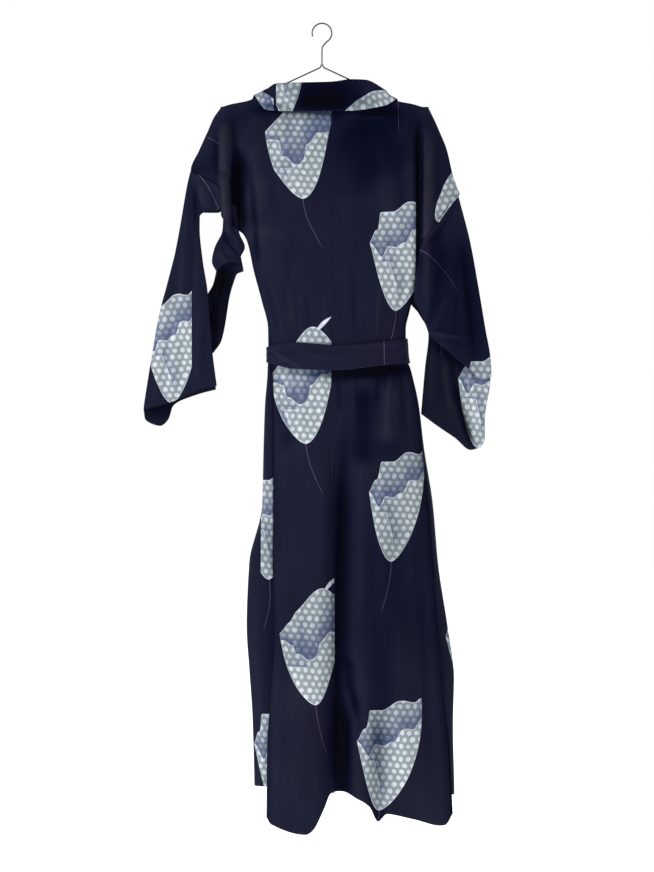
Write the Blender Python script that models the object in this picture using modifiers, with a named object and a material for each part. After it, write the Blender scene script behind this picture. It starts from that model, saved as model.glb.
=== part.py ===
# A long crepe kimono with its sash, hanging closed on a thin wire hanger, seen from behind along +Y.
# All sizes below are in millimetres; +Z is up, +X is the wearer's right, and the back faces -Y.
# The origin is the point on the inside of the hook where a rail would carry it.

import math
from collections import namedtuple

import bmesh
import bpy
import numpy as np

MM = 0.001

# Walls and gaps
CLOTH_WALL = 1.5
BAND_WALL = 2.4
SASH_WALL = 2.0
SEAM_GAP = 0.5
ARMHOLE_GAP = 1.1
LEFT_ARMHOLE_GAP = 0.9
INSIDE_STEP = 4.0
LAYER_GAP = 0.95
COLLAR_STEP = 3.0
OVERLAP_STEP = 6.3
SASH_STEP = 3.0
SASH_FRONT_STEP = 12.6

# The wire hanger
WIRE_RADIUS = 1.5
WRAP_RADIUS = 3.0
ARM_ROOT = 1.75
ARM_TOP = -84.0
HANGER_HALF_WIDTH = 208.0
HANGER_BAR_HEIGHT = -200.0
HOOK_RADIUS = 20.5
HOOK_CENTRE_HEIGHT = -19.0

# The garment's main levels
NECK_LEFT = -147.0
NECK_RIGHT = 150.0
NECK_FADE = 20.0
NECK_DROP = 21.0
NECK_MIDDLE = 6.0
NECK_REACH = 140.0
NECK_BULGE = 7.0
HEM_LEVEL = -1640.0
CENTRE_BACK = 19.0
TOP_BLEND = 60.0
OKUMI_TOP = -438.0
OKUMI_HALF_SPAN = 45.0
COLLAR_HALF_WIDTH = 24.0
COLLAR_LAP = 6.0
COLLAR_END = -812.0
SLIT_TOP = -1044.0
SLIT_FULL = -1250.0
SLIT_TUCK = 8.0
SLIT_INSET = 7.0
SECTION_POWER = 2.4
SECTION_ROUND = 0.6
SHOULDER_LEVEL = -173.0
LEVELLED_BY = 300.0
FIRST_ROW_DROP = 7.0
NECK_ROW_STEP = 1.5
HEM_BEND_START = -1000.0
SIDE_TURN_FADE = 0.4

# Where the outer front starts to stand off the inner one, in height and as a share of the half width
LAYER_START = 230.0
LAYER_FULL = 330.0
LAYER_SIDE_START = -0.92
LAYER_SIDE_FULL = -0.64
COLLAR_TOP = -160.0
LEFT_COLLAR_TOP = -178.0
RIGHT_COLLAR_TOP = -182.0
COLLAR_SLANT = 8.0

# Grid sizes
FRONT_COLUMNS = 10
OKUMI_COLUMNS = 4
OKUMI_ROWS = 18
COLLAR_COLUMNS = 3
COLLAR_ROWS = 16
COLLAR_BACK_ROWS = 3
SASH_COLUMNS = 20
SASH_ROWS = 3
SASH_END_COLUMNS = 4
SASH_END_ROWS = 10
KNOT_SEGMENTS = 14
KNOT_RINGS = 10

Section = namedtuple("Section", "z left right span_left span_right seam_left seam_right depth")
SECTIONS = [
    Section(-173, -210, 220, -212, 222, -210, 220, 2),
    Section(-191, -223, 229, -225, 231, -223, 229, 5),
    Section(-223, -237, 243, -239, 245, -237, 243, 10),
    Section(-262, -254, 258, -256, 260, -254, 258, 16),
    Section(-306, -272, 268, -273, 270, -272, 268, 21),
    Section(-318, -246, 271, -272, 274, -246, 271, 22),
    Section(-332, -222, 276, -270, 279, -222, 276, 23),
    Section(-349, -208, 281, -266, 283, -208, 281, 24),
    Section(-375, -208, 263, -254, 274, -208, 263, 26),
    Section(-400, -208, 245, -240, 262, -208, 245, 27),
    Section(-418, -192, 233, -226, 250, -192, 233, 28),
    Section(-433, -166, 223, -206, 238, -166, 223, 29),
    Section(-460, -153, 206, -172, 218, -153, 206, 30),
    Section(-512, -142, 195, -146, 200, -142, 195, 33),
    Section(-576, -125, 184, -127, 186, -125, 184, 36),
    Section(-632, -112, 173, -113, 174, -112, 173, 39),
    Section(-690, -111, 176, -112, 177, -111, 176, 41),
    Section(-730, -112, 186, -113, 187, -102, 185, 44),
    Section(-790, -117, 199, -118, 200, -100, 197, 50),
    Section(-880, -120, 210, -121, 211, -100, 206, 56),
    Section(-1000, -123, 229, -124, 230, -100, 217, 61),
    Section(-1127, -150, 240, -151, 241, -100, 229, 65),
    Section(-1269, -155, 260, -156, 261, -96, 241, 69),
    Section(-1381, -149, 273, -150, 274, -104, 250, 72),
    Section(-1481, -143, 271, -144, 272, -112, 262, 75),
    Section(-1640, -139, 274, -140, 275, -114, 270, 80),
]

# Back folds: a ridge stands towards -Y, a trough goes in
Fold = namedtuple("Fold", "x_top z_top x_end z_end half_width height")
BACK_FOLDS = [
    Fold(-200, -190, -201, -440, 13, 13),
    Fold(-172, -250, -168, -450, 17, -15),
    Fold(-143, -300, -128, -520, 9, -5),
    Fold(222, -185, 216, -600, 12, 10),
    Fold(202, -175, 199, -600, 8, -7),
    Fold(89, -738, 85, -930, 14, -11),
    Fold(144, -738, 133, -880, 18, 9),
    Fold(-60, -738, -72, -900, 16, -6),
    Fold(46, -790, 22, -1760, 27, -26),
    Fold(48, -1320, 80, -1470, 12, -8),
    Fold(-50, -1250, -52, -1800, 52, 13),
    Fold(190, -1200, 205, -1800, 55, 12),
    Fold(112, -1380, 116, -1760, 20, -9),
]
FRONT_FOLDS = [
    Fold(-150, -240, -120, -640, 14, -7),
    Fold(175, -250, 130, -640, 16, -7),
    Fold(-60, -738, -85, -1500, 18, -10),
    Fold(120, -738, 150, -1760, 20, -13),
    Fold(60, -738, 70, -1760, 22, 8),
    Fold(-10, -1000, -25, -1800, 24, -12),
    Fold(200, -1100, 220, -1800, 24, 8),
]

# Top edges over the wire and round the neck, and the hems, as heights along X
Level = namedtuple("Level", "x z")
WIRE_LINE = [Level(0, -89), Level(125, -148), Level(152, -162.5), Level(190, -170.5), Level(208, -176)]
NECK_LINE = [
    Level(-142, -158), Level(-126, -167), Level(-112, -175), Level(19, -177), Level(60, -176),
    Level(121, -168), Level(152, -161),
]
BACK_HEM = [
    Level(-114, -1643), Level(-104, -1656), Level(-33, -1670), Level(-19, -1662), Level(4, -1620),
    Level(19, -1588), Level(37, -1584), Level(77, -1600), Level(98, -1616), Level(114, -1646),
    Level(133, -1629), Level(185, -1639), Level(254, -1660), Level(266, -1647), Level(277, -1629),
]
FRONT_HEM = [Level(-160, -1590), Level(0, -1572), Level(100, -1572), Level(200, -1588), Level(277, -1606)]

# Front lines, as distances from the front's middle line
Line = namedtuple("Line", "z x")
FRONT_MIDDLE = [Line(-173, 8), Line(-449, 18), Line(-690, 30), Line(-1200, 50), Line(-1640, 67)]
COLLAR_LINE = [
    Line(-160, -140), Line(-200, -131), Line(-260, -108), Line(-340, -68), Line(-430, -24),
    Line(-520, 8), Line(-600, 26), Line(-690, 40), Line(-812, 50),
]
OKUMI_EDGE = [
    Line(-438, -36), Line(-520, -10), Line(-600, 8), Line(-690, 24), Line(-760, 48), Line(-812, 72),
    Line(-1640, 98),
]

# Rows of the body panels below the shoulder, as stretches of height and how many rows each has
Rows = namedtuple("Rows", "start end count")
BODY_ROWS = [
    Rows(-180, -306, 6), Rows(-318, -349, 3), Rows(-375, -460, 5), Rows(-500, -630, 4),
    Rows(-664, -730, 3), Rows(-790, -1300, 9), Rows(-1360, -1640, 6),
]

# Where the columns of the back stand, closer together at the ridges by the armholes
BACK_LEFT_SHARES = [0, 0.035, 0.07, 0.11, 0.16, 0.22, 0.285, 0.34, 0.41, 0.52, 0.64, 0.76, 0.88, 1]
BACK_RIGHT_SHARES = [0, 0.1, 0.2, 0.31, 0.42, 0.53, 0.63, 0.71, 0.78, 0.85, 0.91, 0.96, 1]

# Sleeve edges, from the top down or from left to right, in x and z
Spot = namedtuple("Spot", "x z")
LEFT_ARMHOLE_HEIGHTS = [-306, -318, -333.5, -349]
LEFT_SLEEVE_OUTER = [
    Spot(-272.5, -306.9), Spot(-278, -329), Spot(-297, -437), Spot(-314, -514), Spot(-337, -603),
    Spot(-356, -709), Spot(-371, -803),
]
LEFT_SLEEVE_INNER = [
    Spot(-208.5, -349.9), Spot(-209.5, -382), Spot(-215, -390), Spot(-246, -391), Spot(-254, -400),
    Spot(-254, -424), Spot(-248, -487), Spot(-237, -557), Spot(-227, -682), Spot(-218, -753),
]
LEFT_CUFF = [Spot(-371, -803), Spot(-312, -786), Spot(-289, -776), Spot(-256, -763), Spot(-218, -753)]
LEFT_CUFF_TURNED = [
    Spot(-371, -803), Spot(-368, -822), Spot(-337, -836), Spot(-320, -822), Spot(-310, -794),
    Spot(-258, -770), Spot(-221, -760),
]
FLAP_TOP = [Spot(-203, -377), Spot(-178, -377)]
FLAP_LEFT = [Spot(-203, -377), Spot(-206, -424), Spot(-223, -468), Spot(-228, -496), Spot(-219, -516)]
FLAP_RIGHT = [Spot(-178, -377), Spot(-172, -433), Spot(-160, -466), Spot(-168, -487), Spot(-163, -517)]
FLAP_LIP = [Spot(-219, -516), Spot(-207, -504), Spot(-187, -496), Spot(-170, -503), Spot(-163, -517)]
INNER_TOP = [Spot(-212, -462), Spot(-173, -462)]
INNER_LEFT = [Spot(-212, -462), Spot(-219, -510), Spot(-226, -541), Spot(-240, -570), Spot(-246, -690)]
INNER_RIGHT = [
    Spot(-173, -462), Spot(-177, -510), Spot(-191, -566), Spot(-202, -630), Spot(-210, -661),
    Spot(-226, -684),
]
INNER_FOOT = [Spot(-246, -690), Spot(-226, -684)]
ARMHOLE_HEIGHTS = [-462, -439, -418, -396, -375, -353]
RIGHT_SLEEVE_OUTER = [
    Spot(282, -353), Spot(308, -456), Spot(324, -545), Spot(339, -636), Spot(349, -693), Spot(352, -734),
]
RIGHT_SLEEVE_INNER = [
    Spot(207, -462), Spot(200, -512), Spot(195, -576), Spot(202, -592), Spot(210, -612), Spot(223, -651),
]
RIGHT_SLEEVE_LIFT = [Spot(223, -651), Spot(266, -686), Spot(308, -720), Spot(335, -740), Spot(352, -734)]
RIGHT_FRONT_INNER = [
    Spot(207, -462), Spot(204, -520), Spot(201, -576), Spot(217, -640), Spot(212, -711), Spot(206, -811),
]
RIGHT_FRONT_OUTER = [
    Spot(282, -353), Spot(308, -456), Spot(324, -545), Spot(339, -636), Spot(350, -700), Spot(351, -735),
    Spot(339, -824), Spot(339, -862), Spot(331, -880),
]
RIGHT_FRONT_HEM = [Spot(206, -811), Spot(243, -838), Spot(277, -861), Spot(310, -886), Spot(331, -880)]

# Sleeve layers: y at the top and foot of each side, how far the middle swells, and how far down the
# body's wall holds it
SleeveLayer = namedtuple(
    "SleeveLayer", "name top_left top_right foot_left foot_right puff held columns rows"
)
LEFT_BACK_LAYER = SleeveLayer("sleeve_left_back", -1, -14, -1, -13, -7, 0.1, 7, 22)
LEFT_FRONT_LAYER = SleeveLayer("sleeve_left_front", 1, 12, 1, 10, 7, 0.1, 7, 22)
FLAP_LAYER = SleeveLayer("sleeve_left_flap", -18, -10, -15, -13, -7, 0.42, 6, 10)
UNDER_LAYER = SleeveLayer("sleeve_left_under", -4, -9.8, -2, -2, 6, 0.1, 4, 9)
RIGHT_BACK_LAYER = SleeveLayer("sleeve_right_back", -16, -1, -17, -5, -9, 0.1, 9, 16)
RIGHT_FRONT_LAYER = SleeveLayer("sleeve_right_front", 12, 1, 2, 4, 8, 0.1, 9, 20)
PUFF_AT_ENDS = 0.35
PUFF_RISE = 0.15
HELD_FADE = 0.4

# The collar over the shoulders and the back neck: its sewn edge and its free edge
Station = namedtuple("Station", "seam_x seam_y seam_z edge_x edge_y edge_z")
COLLAR_BACK = [
    Station(-148, 10, -172, -101, 14, -161), Station(-146, 6.5, -159, -109, 9, -149),
    Station(-141, 0, -149, -117, 0, -137), Station(-135, -9, -157, -112, -7.5, -136),
    Station(-114, -13, -181, -95, -11, -126), Station(-60, -15, -184, -50, -11, -124),
    Station(19, -16.5, -184, 19, -10, -122), Station(62, -16, -183, 60, -10, -117),
    Station(105, -14, -177, 90, -10, -118), Station(134, -9.5, -170, 122, -9, -133),
    Station(149, -8.5, -161, 134, -7, -142), Station(155, 0, -155.5, 131, 0, -145),
    Station(160, 6.5, -165, 126, 9, -155), Station(162, 10, -176, 118, 14, -166),
]
COLUMNS_PER_STATION = 3

# The sash: its two edges along X, then its knot and its two ends
SashEdge = namedtuple("SashEdge", "x top bottom")
SASH = [
    SashEdge(-116, -667, -702), SashEdge(-96, -666, -709), SashEdge(-62, -664, -718),
    SashEdge(31, -670, -722), SashEdge(106, -664, -713), SashEdge(180, -654, -705),
]
KNOT_X = -12.0
KNOT_HEIGHT = -692.0
KNOT_SIZE = (26.0, 15.0, 28.0)
KNOT_GAP = 0.8
KNOT_PINCH = 0.16
KNOT_PINCH_WIDTH = 0.35
SASH_LEVEL = -690.0
SASH_SIDE_TURN = 0.012
# The sash crosses the overlap between these shares of the half width, rising and falling
OVERLAP_RISE = (-0.95, -0.68)
OVERLAP_FALL = (0.55, 0.9)
SashEnd = namedtuple("SashEnd", "name top_x end_x end_z stand_off")
SASH_ENDS = [
    SashEnd("sash_end_long", -22, -58, -1010, 1.0),
    SashEnd("sash_end_short", -2, 30, -930, 2.0),
]
SASH_END_TOP = -690.0
SASH_END_WIDTH = 52.0
SASH_END_GATHERED = 17.0
SASH_END_SPREAD = (0.1, 0.5)

# The wire's corners: the round ends of the hanger, the hook's open side and its foot
TIP_RADIUS = 7.0
TIP_DROP = 2.0
ARM_PLACES = [4.5, 12, 36, 62, 94, 118, 130, 138, 146, 154, 162, 172, 182, 192]
HOOK_TURNS = (200, -60)
TIP_TURNS = (70, -80)
SHANK = [Spot(6, -4.5), Spot(1.5, -10), Spot(0, -18)]
HOOK_GAP = 0.4
BAR_PAST_TIP = 0.3
BAR_STEPS = 8

CLOTH_COLOUR = (0.012, 0.014, 0.055, 1.0)
WIRE_COLOUR = (0.02, 0.05, 0.04, 1.0)


def smooth_lookup(table, key, value, at):
    """Reads one column of a table at any height or place, with no overshoot between rows."""
    rows = sorted(table, key=lambda row: getattr(row, key))
    xs = np.array([getattr(row, key) for row in rows], float)
    ys = np.array([getattr(row, value) for row in rows], float)
    return monotone_curve(xs, ys, at)


def monotone_curve(xs, ys, at):
    at = min(max(at, xs[0]), xs[-1])
    steps = np.diff(xs)
    slopes = np.diff(ys) / steps
    index = int(min(max(np.searchsorted(xs, at) - 1, 0), len(steps) - 1))

    def tangent(i):
        if i == 0:
            return slopes[0]
        if i == len(slopes):
            return slopes[-1]
        before, after = slopes[i - 1], slopes[i]
        if before * after <= 0:
            return 0.0
        return 2 * before * after / (before + after)

    t = (at - xs[index]) / steps[index]
    first, second = tangent(index), tangent(index + 1)
    return (
        (2 * t**3 - 3 * t**2 + 1) * ys[index]
        + (t**3 - 2 * t**2 + t) * steps[index] * first
        + (-2 * t**3 + 3 * t**2) * ys[index + 1]
        + (t**3 - t**2) * steps[index] * second
    )


def smooth_step(low, high, value):
    """0 below the low value and 1 above the high one, with a soft change between."""
    t = min(max((value - low) / (high - low), 0.0), 1.0)
    return t * t * (3 - 2 * t)


def mix(a, b, share):
    return a + (b - a) * share


def section(column, z):
    return smooth_lookup(SECTIONS, "z", column, z)


def profile(x, z):
    """How far the section bulges at x, from 0 at its sides to 1 in its middle."""
    left, right = section("span_left", z), section("span_right", z)
    side = abs((2 * x - left - right) / (right - left))
    return max(0.0, 1 - min(side, 1.0) ** SECTION_POWER) ** SECTION_ROUND


def fold_height(folds, x, z):
    total = 0.0
    for fold in folds:
        along = (fold.z_top - z) / (fold.z_top - fold.z_end)
        if not 0 < along < 1:
            continue
        middle = mix(fold.x_top, fold.x_end, along)
        fade = smooth_step(0, 0.25, along) * smooth_step(0, 0.25, 1 - along)
        total += fold.height * fade * math.exp(-(((x - middle) / fold.half_width) ** 2))
    return total


def wire_height(x):
    return smooth_lookup(WIRE_LINE, "x", "z", abs(x))


def wrap_share(x, inset=0.0):
    """1 where the cloth lies over the wire, 0 inside the neck, which starts this much further in."""
    from_left = smooth_step(NECK_LEFT + inset, NECK_LEFT + NECK_FADE + inset, x)
    from_right = smooth_step(NECK_RIGHT - NECK_FADE - inset, NECK_RIGHT - inset, x)
    return max(1 - from_left, from_right)


def top_depth(x):
    """The cloth's distance from the wire's plane along its top edge."""
    neck = max(0.0, 1 - ((x - NECK_MIDDLE) / NECK_REACH) ** 2)
    return WRAP_RADIUS + NECK_BULGE * neck


def hanger_clearance(x, z):
    """The least depth beside the wire's rounded ends."""
    beside = 1 - smooth_step(HANGER_HALF_WIDTH + 3, HANGER_HALF_WIDTH + 14, abs(x))
    return WRAP_RADIUS * beside * (1 - smooth_step(-HANGER_BAR_HEIGHT, 25 - HANGER_BAR_HEIGHT, -z))


def wall_depth(folds, x, z, top):
    """Distance of the cloth's middle from the plane y = 0 at a height z below its top edge."""
    body = LAYER_GAP + section("depth", z) * profile(x, z) + fold_height(folds, x, z)
    depth = mix(top_depth(x), body, smooth_step(0, TOP_BLEND, top - z))
    return max(depth, LAYER_GAP, hanger_clearance(x, z))


def top_edge(x):
    """Height of the wire's middle under the shoulder, and of the neck's edge between the shoulders."""
    neck = smooth_lookup(NECK_LINE, "x", "z", x)
    return mix(neck, wire_height(x), wrap_share(x, NECK_DROP))


def body_heights():
    heights = []
    for rows in BODY_ROWS:
        heights += list(np.linspace(rows.start, rows.end, rows.count))
    return heights


WRAP_ANGLES = [78, 40, 0]
BODY_HEIGHTS = body_heights()


def hem_height(hem, x, z):
    """Bends the lower rows to the hem line."""
    share = smooth_step(HEM_BEND_START, HEM_LEVEL, z) if z > HEM_LEVEL else 1.0
    target = smooth_lookup(hem, "x", "z", x) - HEM_LEVEL
    return z + target * share


def row_height(row, x):
    """Height of one row below the shoulder: it follows the top edge first, then levels out."""
    level = BODY_HEIGHTS[row]
    first = BODY_HEIGHTS[0]
    share = smooth_step(-first, LEVELLED_BY, -level)
    return mix(top_edge(x) + (level - first) - FIRST_ROW_DROP, level, share)


def back_point(row, x):
    """A point of the back at a row and a place across it."""
    if row < len(WRAP_ANGLES):
        angle = math.radians(WRAP_ANGLES[row])
        reach = top_depth(x)
        wrap = wrap_share(x)
        y = mix(reach, min(reach, WRAP_RADIUS) * math.cos(angle), wrap)
        lift = mix(-NECK_ROW_STEP * row, min(reach, WRAP_RADIUS) * math.sin(angle), wrap_share(x, NECK_DROP))
        return (x, -y, top_edge(x) + lift)
    z = row_height(row - len(WRAP_ANGLES), x)
    depth = wall_depth(BACK_FOLDS, x, z, top_edge(x))
    return (x, -depth, hem_height(BACK_HEM, x, z))


def front_middle(z):
    return smooth_lookup(FRONT_MIDDLE, "z", "x", z)


def layer_share(x, z):
    """How far the outer front stands off at x, because the inner front lies under it."""
    left, right = section("span_left", z), section("span_right", z)
    side = (2 * x - left - right) / (right - left)
    return smooth_step(LAYER_SIDE_START, LAYER_SIDE_FULL, side) * smooth_step(LAYER_START, LAYER_FULL, -z)


def front_depth(x, z, top, layer):
    offset = OVERLAP_STEP * layer_share(x, z) if layer else 0.0
    return wall_depth(FRONT_FOLDS, x, z, top) + offset


def new_collection(name):
    collection = bpy.data.collections.new(name)
    bpy.context.scene.collection.children.link(collection)
    return collection


def new_material(name, colour, roughness, metallic=0.0):
    material = bpy.data.materials.new(name)
    material.use_nodes = True
    shader = material.node_tree.nodes["Principled BSDF"]
    shader.inputs["Base Color"].default_value = colour
    shader.inputs["Roughness"].default_value = roughness
    shader.inputs["Metallic"].default_value = metallic
    return material


def add_sheet(collection, name, columns, rows, place, wall, material):
    """A grid whose points are placed by a function of (across, down), thickened to a wall of cloth."""
    shape = bmesh.new()
    bmesh.ops.create_grid(shape, x_segments=columns, y_segments=rows, size=1.0)
    for vertex in shape.verts:
        across = round((vertex.co.x + 1) / 2 * columns)
        down = round((1 - vertex.co.y) / 2 * rows)
        vertex.co = [value * MM for value in place(across, down)]
    mesh = bpy.data.meshes.new(name)
    shape.to_mesh(mesh)
    shape.free()
    mesh.shade_smooth()
    mesh.materials.append(material)
    sheet = bpy.data.objects.new(name, mesh)
    collection.objects.link(sheet)
    thick = sheet.modifiers.new("cloth wall", "SOLIDIFY")
    thick.thickness = wall * MM
    thick.offset = 0.0
    thick.use_even_offset = False
    return sheet


def along_edge(points, share):
    """A point at a share of the length of an edge drawn through a few points."""
    array = np.array(points, float)
    lengths = np.linalg.norm(np.diff(array, axis=0), axis=1)
    reach = np.concatenate([[0.0], np.cumsum(lengths)])
    return np.array([monotone_curve(reach, array[:, i], share * reach[-1]) for i in range(array.shape[1])])


def blended_patch(left, right, top, bottom, columns, rows):
    """A patch drawn between four edges, returned as a function of (across, down) that gives x and z."""
    corners = [np.array(p, float) for p in (left[0], right[0], left[-1], right[-1])]

    def place(across, down):
        u, v = across / columns, down / rows
        sides = mix(along_edge(left, v), along_edge(right, v), u)
        ends = mix(along_edge(top, u), along_edge(bottom, u), v)
        flat = mix(mix(corners[0], corners[1], u), mix(corners[2], corners[3], u), v)
        return sides + ends - flat

    return place


def level_of(row):
    """The height that a row of a body panel stands for: the rows over the wire share the shoulder's."""
    return BODY_HEIGHTS[row - len(WRAP_ANGLES)] if row >= len(WRAP_ANGLES) else SHOULDER_LEVEL


def make_back(collection, cloth):
    """The two back panels, each from its side seam to the seam down the middle."""
    rows = len(WRAP_ANGLES) + len(BODY_HEIGHTS) - 1

    def left_place(across, down):
        edge = section("seam_left", level_of(down))
        return back_point(down, mix(edge, CENTRE_BACK - SEAM_GAP / 2, BACK_LEFT_SHARES[across]))

    def right_place(across, down):
        edge = section("seam_right", level_of(down))
        return back_point(down, mix(CENTRE_BACK + SEAM_GAP / 2, edge, BACK_RIGHT_SHARES[across]))

    add_sheet(collection, "back_left", len(BACK_LEFT_SHARES) - 1, rows, left_place, CLOTH_WALL, cloth)
    add_sheet(collection, "back_right", len(BACK_RIGHT_SHARES) - 1, rows, right_place, CLOTH_WALL, cloth)


def front_point(row, x, layer):
    if row < len(WRAP_ANGLES):
        angle = math.radians(WRAP_ANGLES[row])
        reach = min(top_depth(x), WRAP_RADIUS)
        return (x, reach * math.cos(angle), top_edge(x) + reach * math.sin(angle))
    z = row_height(row - len(WRAP_ANGLES), x)
    return (x, front_depth(x, z, top_edge(x), layer), hem_height(FRONT_HEM, x, z))


def round_side_point(row, x, inset):
    """A point of a front panel that has come round the side and lies inside the back's edge."""
    z = row_height(row - len(WRAP_ANGLES), x)
    depth = wall_depth(BACK_FOLDS, x, z, top_edge(x)) - 2 * LAYER_GAP - inset
    return (x, -depth, hem_height(FRONT_HEM, x, z))


def front_inner_edge(z, side):
    """Where a front panel ends towards the middle: along the collar, then at the okumi's seam."""
    line = smooth_lookup(COLLAR_LINE, "z", "x", z) - COLLAR_HALF_WIDTH + COLLAR_LAP
    return front_middle(z) - side * min(line, -OKUMI_HALF_SPAN)


def turn_of(x, z):
    """How far round the section a place lies, from 0 at the right side to pi at the left."""
    left, right = section("span_left", z), section("span_right", z)
    return math.acos(min(max((2 * x - left - right) / (right - left), -1.0), 1.0))


def front_start(z, side):
    """The turn at which a front panel starts, how far it lies inside the back, from the side seam."""
    edge = section("left" if side < 0 else "right", z)
    seam = section("seam_left" if side < 0 else "seam_right", z)
    if abs(seam - edge) < SEAM_GAP:
        return (math.pi - turn_of(edge, z) if side < 0 else -turn_of(edge, z)), 0.0
    opened = smooth_step(-SLIT_TOP, -SLIT_FULL, -z)
    tuck = SLIT_TUCK * max(0.0, 2 * opened - 1)
    turn = turn_of(seam + side * (SEAM_GAP - tuck), z)
    return (turn - math.pi if side < 0 else turn), SLIT_INSET * opened


def make_front(collection, cloth, name, side, layer):
    """A front panel from the side seam to the okumi's seam; side is -1 on the left, 1 on the right."""
    rows = len(WRAP_ANGLES) + len(BODY_HEIGHTS) - 1
    columns = FRONT_COLUMNS

    def place(across, down):
        level = level_of(down)
        left, right = section("span_left", level), section("span_right", level)
        start, inset = front_start(level, side)
        inner = front_inner_edge(level, side)
        inner_turn = math.pi - turn_of(inner, level) if side < 0 else -turn_of(inner, level)
        # Turns here run from 0 at this panel's own side: below 0 is round on the back
        share = across / columns if side < 0 else 1 - across / columns
        turn = mix(start, inner_turn, share)
        reach = math.cos(turn) * (right - left) / 2
        x = (left + right) / 2 + side * reach
        behind = turn < 0 if side < 0 else turn > 0
        if behind and down >= len(WRAP_ANGLES):
            fade = smooth_step(0, SIDE_TURN_FADE, abs(turn))
            return round_side_point(down, x, inset * fade)
        return front_point(down, x, layer)

    add_sheet(collection, name, columns, rows, place, CLOTH_WALL, cloth)


def okumi_edges(z, side):
    """The okumi's seam and its free edge; on the right side they mirror about the front's middle."""
    middle = front_middle(z)
    free = smooth_lookup(OKUMI_EDGE, "z", "x", z)
    seam = middle + side * (OKUMI_HALF_SPAN - SEAM_GAP)
    return seam, middle - side * free


def make_okumi(collection, cloth, name, side, layer):
    """The overlap panel sewn to a front from the neck down to the hem."""
    columns, rows = OKUMI_COLUMNS, OKUMI_ROWS

    def place(across, down):
        z = mix(OKUMI_TOP, HEM_LEVEL, down / rows)
        seam, free = okumi_edges(z, side)
        share = across / columns if side < 0 else 1 - across / columns
        x = mix(seam, free, share)
        return (x, front_depth(x, z, 0.0, layer), hem_height(FRONT_HEM, x, z))

    add_sheet(collection, name, columns, rows, place, CLOTH_WALL, cloth)


def make_collar_front(collection, cloth, name, side, layer, top):
    """A front stretch of the collar: a band along the collar line, standing just outside the panel."""
    columns, rows = COLLAR_COLUMNS, COLLAR_ROWS

    def place(across, down):
        z = mix(top, COLLAR_END, down / rows)
        line = smooth_lookup(COLLAR_LINE, "z", "x", z)
        share = across / columns if side < 0 else 1 - across / columns
        x = front_middle(z) - side * (line + mix(-COLLAR_HALF_WIDTH, COLLAR_HALF_WIDTH, share))
        raised = z + mix(-COLLAR_SLANT, COLLAR_SLANT, share)
        depth = front_depth(x, raised, top_edge(COLLAR_TOP), layer) + COLLAR_STEP
        return (x, depth, raised)

    add_sheet(collection, name, columns, rows, place, BAND_WALL, cloth)


def make_collar_back(collection, cloth):
    """The collar round the back neck, coming over each shoulder."""
    columns, rows = COLUMNS_PER_STATION * (len(COLLAR_BACK) - 1), COLLAR_BACK_ROWS
    stations = np.array(COLLAR_BACK, float)
    order = np.arange(len(stations), dtype=float)

    def place(across, down):
        at = across / COLUMNS_PER_STATION
        reach = [monotone_curve(order, column, at) for column in stations.T]
        seam, edge = np.array(reach[:3]), np.array(reach[3:])
        return mix(edge, seam, down / rows)

    add_sheet(collection, "collar_back", columns, rows, place, BAND_WALL, cloth)


def sleeve_sheet(collection, cloth, layer, edges, body_top=None):
    """A sleeve layer between four edges, held along its top to the body's wall where one is given."""
    flat = blended_patch(*edges, layer.columns, layer.rows)

    def place(across, down):
        u, v = across / layer.columns, down / layer.rows
        x, z = flat(across, down)
        left = mix(layer.top_left, layer.foot_left, v)
        right = mix(layer.top_right, layer.foot_right, v)
        swell = mix(PUFF_AT_ENDS, 1.0, math.sin(math.pi * min(v + PUFF_RISE, 1.0)))
        y = mix(left, right, u) + layer.puff * math.sin(math.pi * u) * swell
        if body_top:
            y = mix(body_top(x, z), y, smooth_step(layer.held, layer.held + HELD_FADE, v))
        return (x, y, z)

    add_sheet(collection, layer.name, layer.columns, layer.rows, place, CLOTH_WALL, cloth)


def left_armhole():
    """The body's left edge, moved out by the seam's gap."""
    return [Spot(section("left", z) - SEAM_GAP, z - LEFT_ARMHOLE_GAP) for z in LEFT_ARMHOLE_HEIGHTS]


def right_armhole():
    """The body's right edge, moved out by the seam's gap."""
    return [Spot(section("right", z) + ARMHOLE_GAP, z) for z in ARMHOLE_HEIGHTS]


def make_sleeves(collection, cloth):
    """Each sleeve has a back and a front layer; the left one also has the flap and layer by its armhole."""

    def on_back(x, z):
        return -wall_depth(BACK_FOLDS, x, z, 0.0)

    def inside_back(x, z):
        return INSIDE_STEP - wall_depth(BACK_FOLDS, x, z, 0.0)

    def on_front(x, z):
        return wall_depth(FRONT_FOLDS, x, z, 0.0)

    left_back = (LEFT_SLEEVE_OUTER, LEFT_SLEEVE_INNER, left_armhole(), LEFT_CUFF)
    left_front = (LEFT_SLEEVE_OUTER, LEFT_SLEEVE_INNER, left_armhole(), LEFT_CUFF_TURNED)
    flap = (FLAP_LEFT, FLAP_RIGHT, FLAP_TOP, FLAP_LIP)
    under = (INNER_LEFT, INNER_RIGHT, INNER_TOP, INNER_FOOT)
    right_back = (RIGHT_SLEEVE_INNER, RIGHT_SLEEVE_OUTER, right_armhole(), RIGHT_SLEEVE_LIFT)
    right_front = (RIGHT_FRONT_INNER, RIGHT_FRONT_OUTER, right_armhole(), RIGHT_FRONT_HEM)
    sleeve_sheet(collection, cloth, LEFT_BACK_LAYER, left_back, on_back)
    sleeve_sheet(collection, cloth, LEFT_FRONT_LAYER, left_front, on_front)
    sleeve_sheet(collection, cloth, FLAP_LAYER, flap, inside_back)
    sleeve_sheet(collection, cloth, UNDER_LAYER, under)
    sleeve_sheet(collection, cloth, RIGHT_BACK_LAYER, right_back, on_back)
    sleeve_sheet(collection, cloth, RIGHT_FRONT_LAYER, right_front, on_front)


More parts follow.
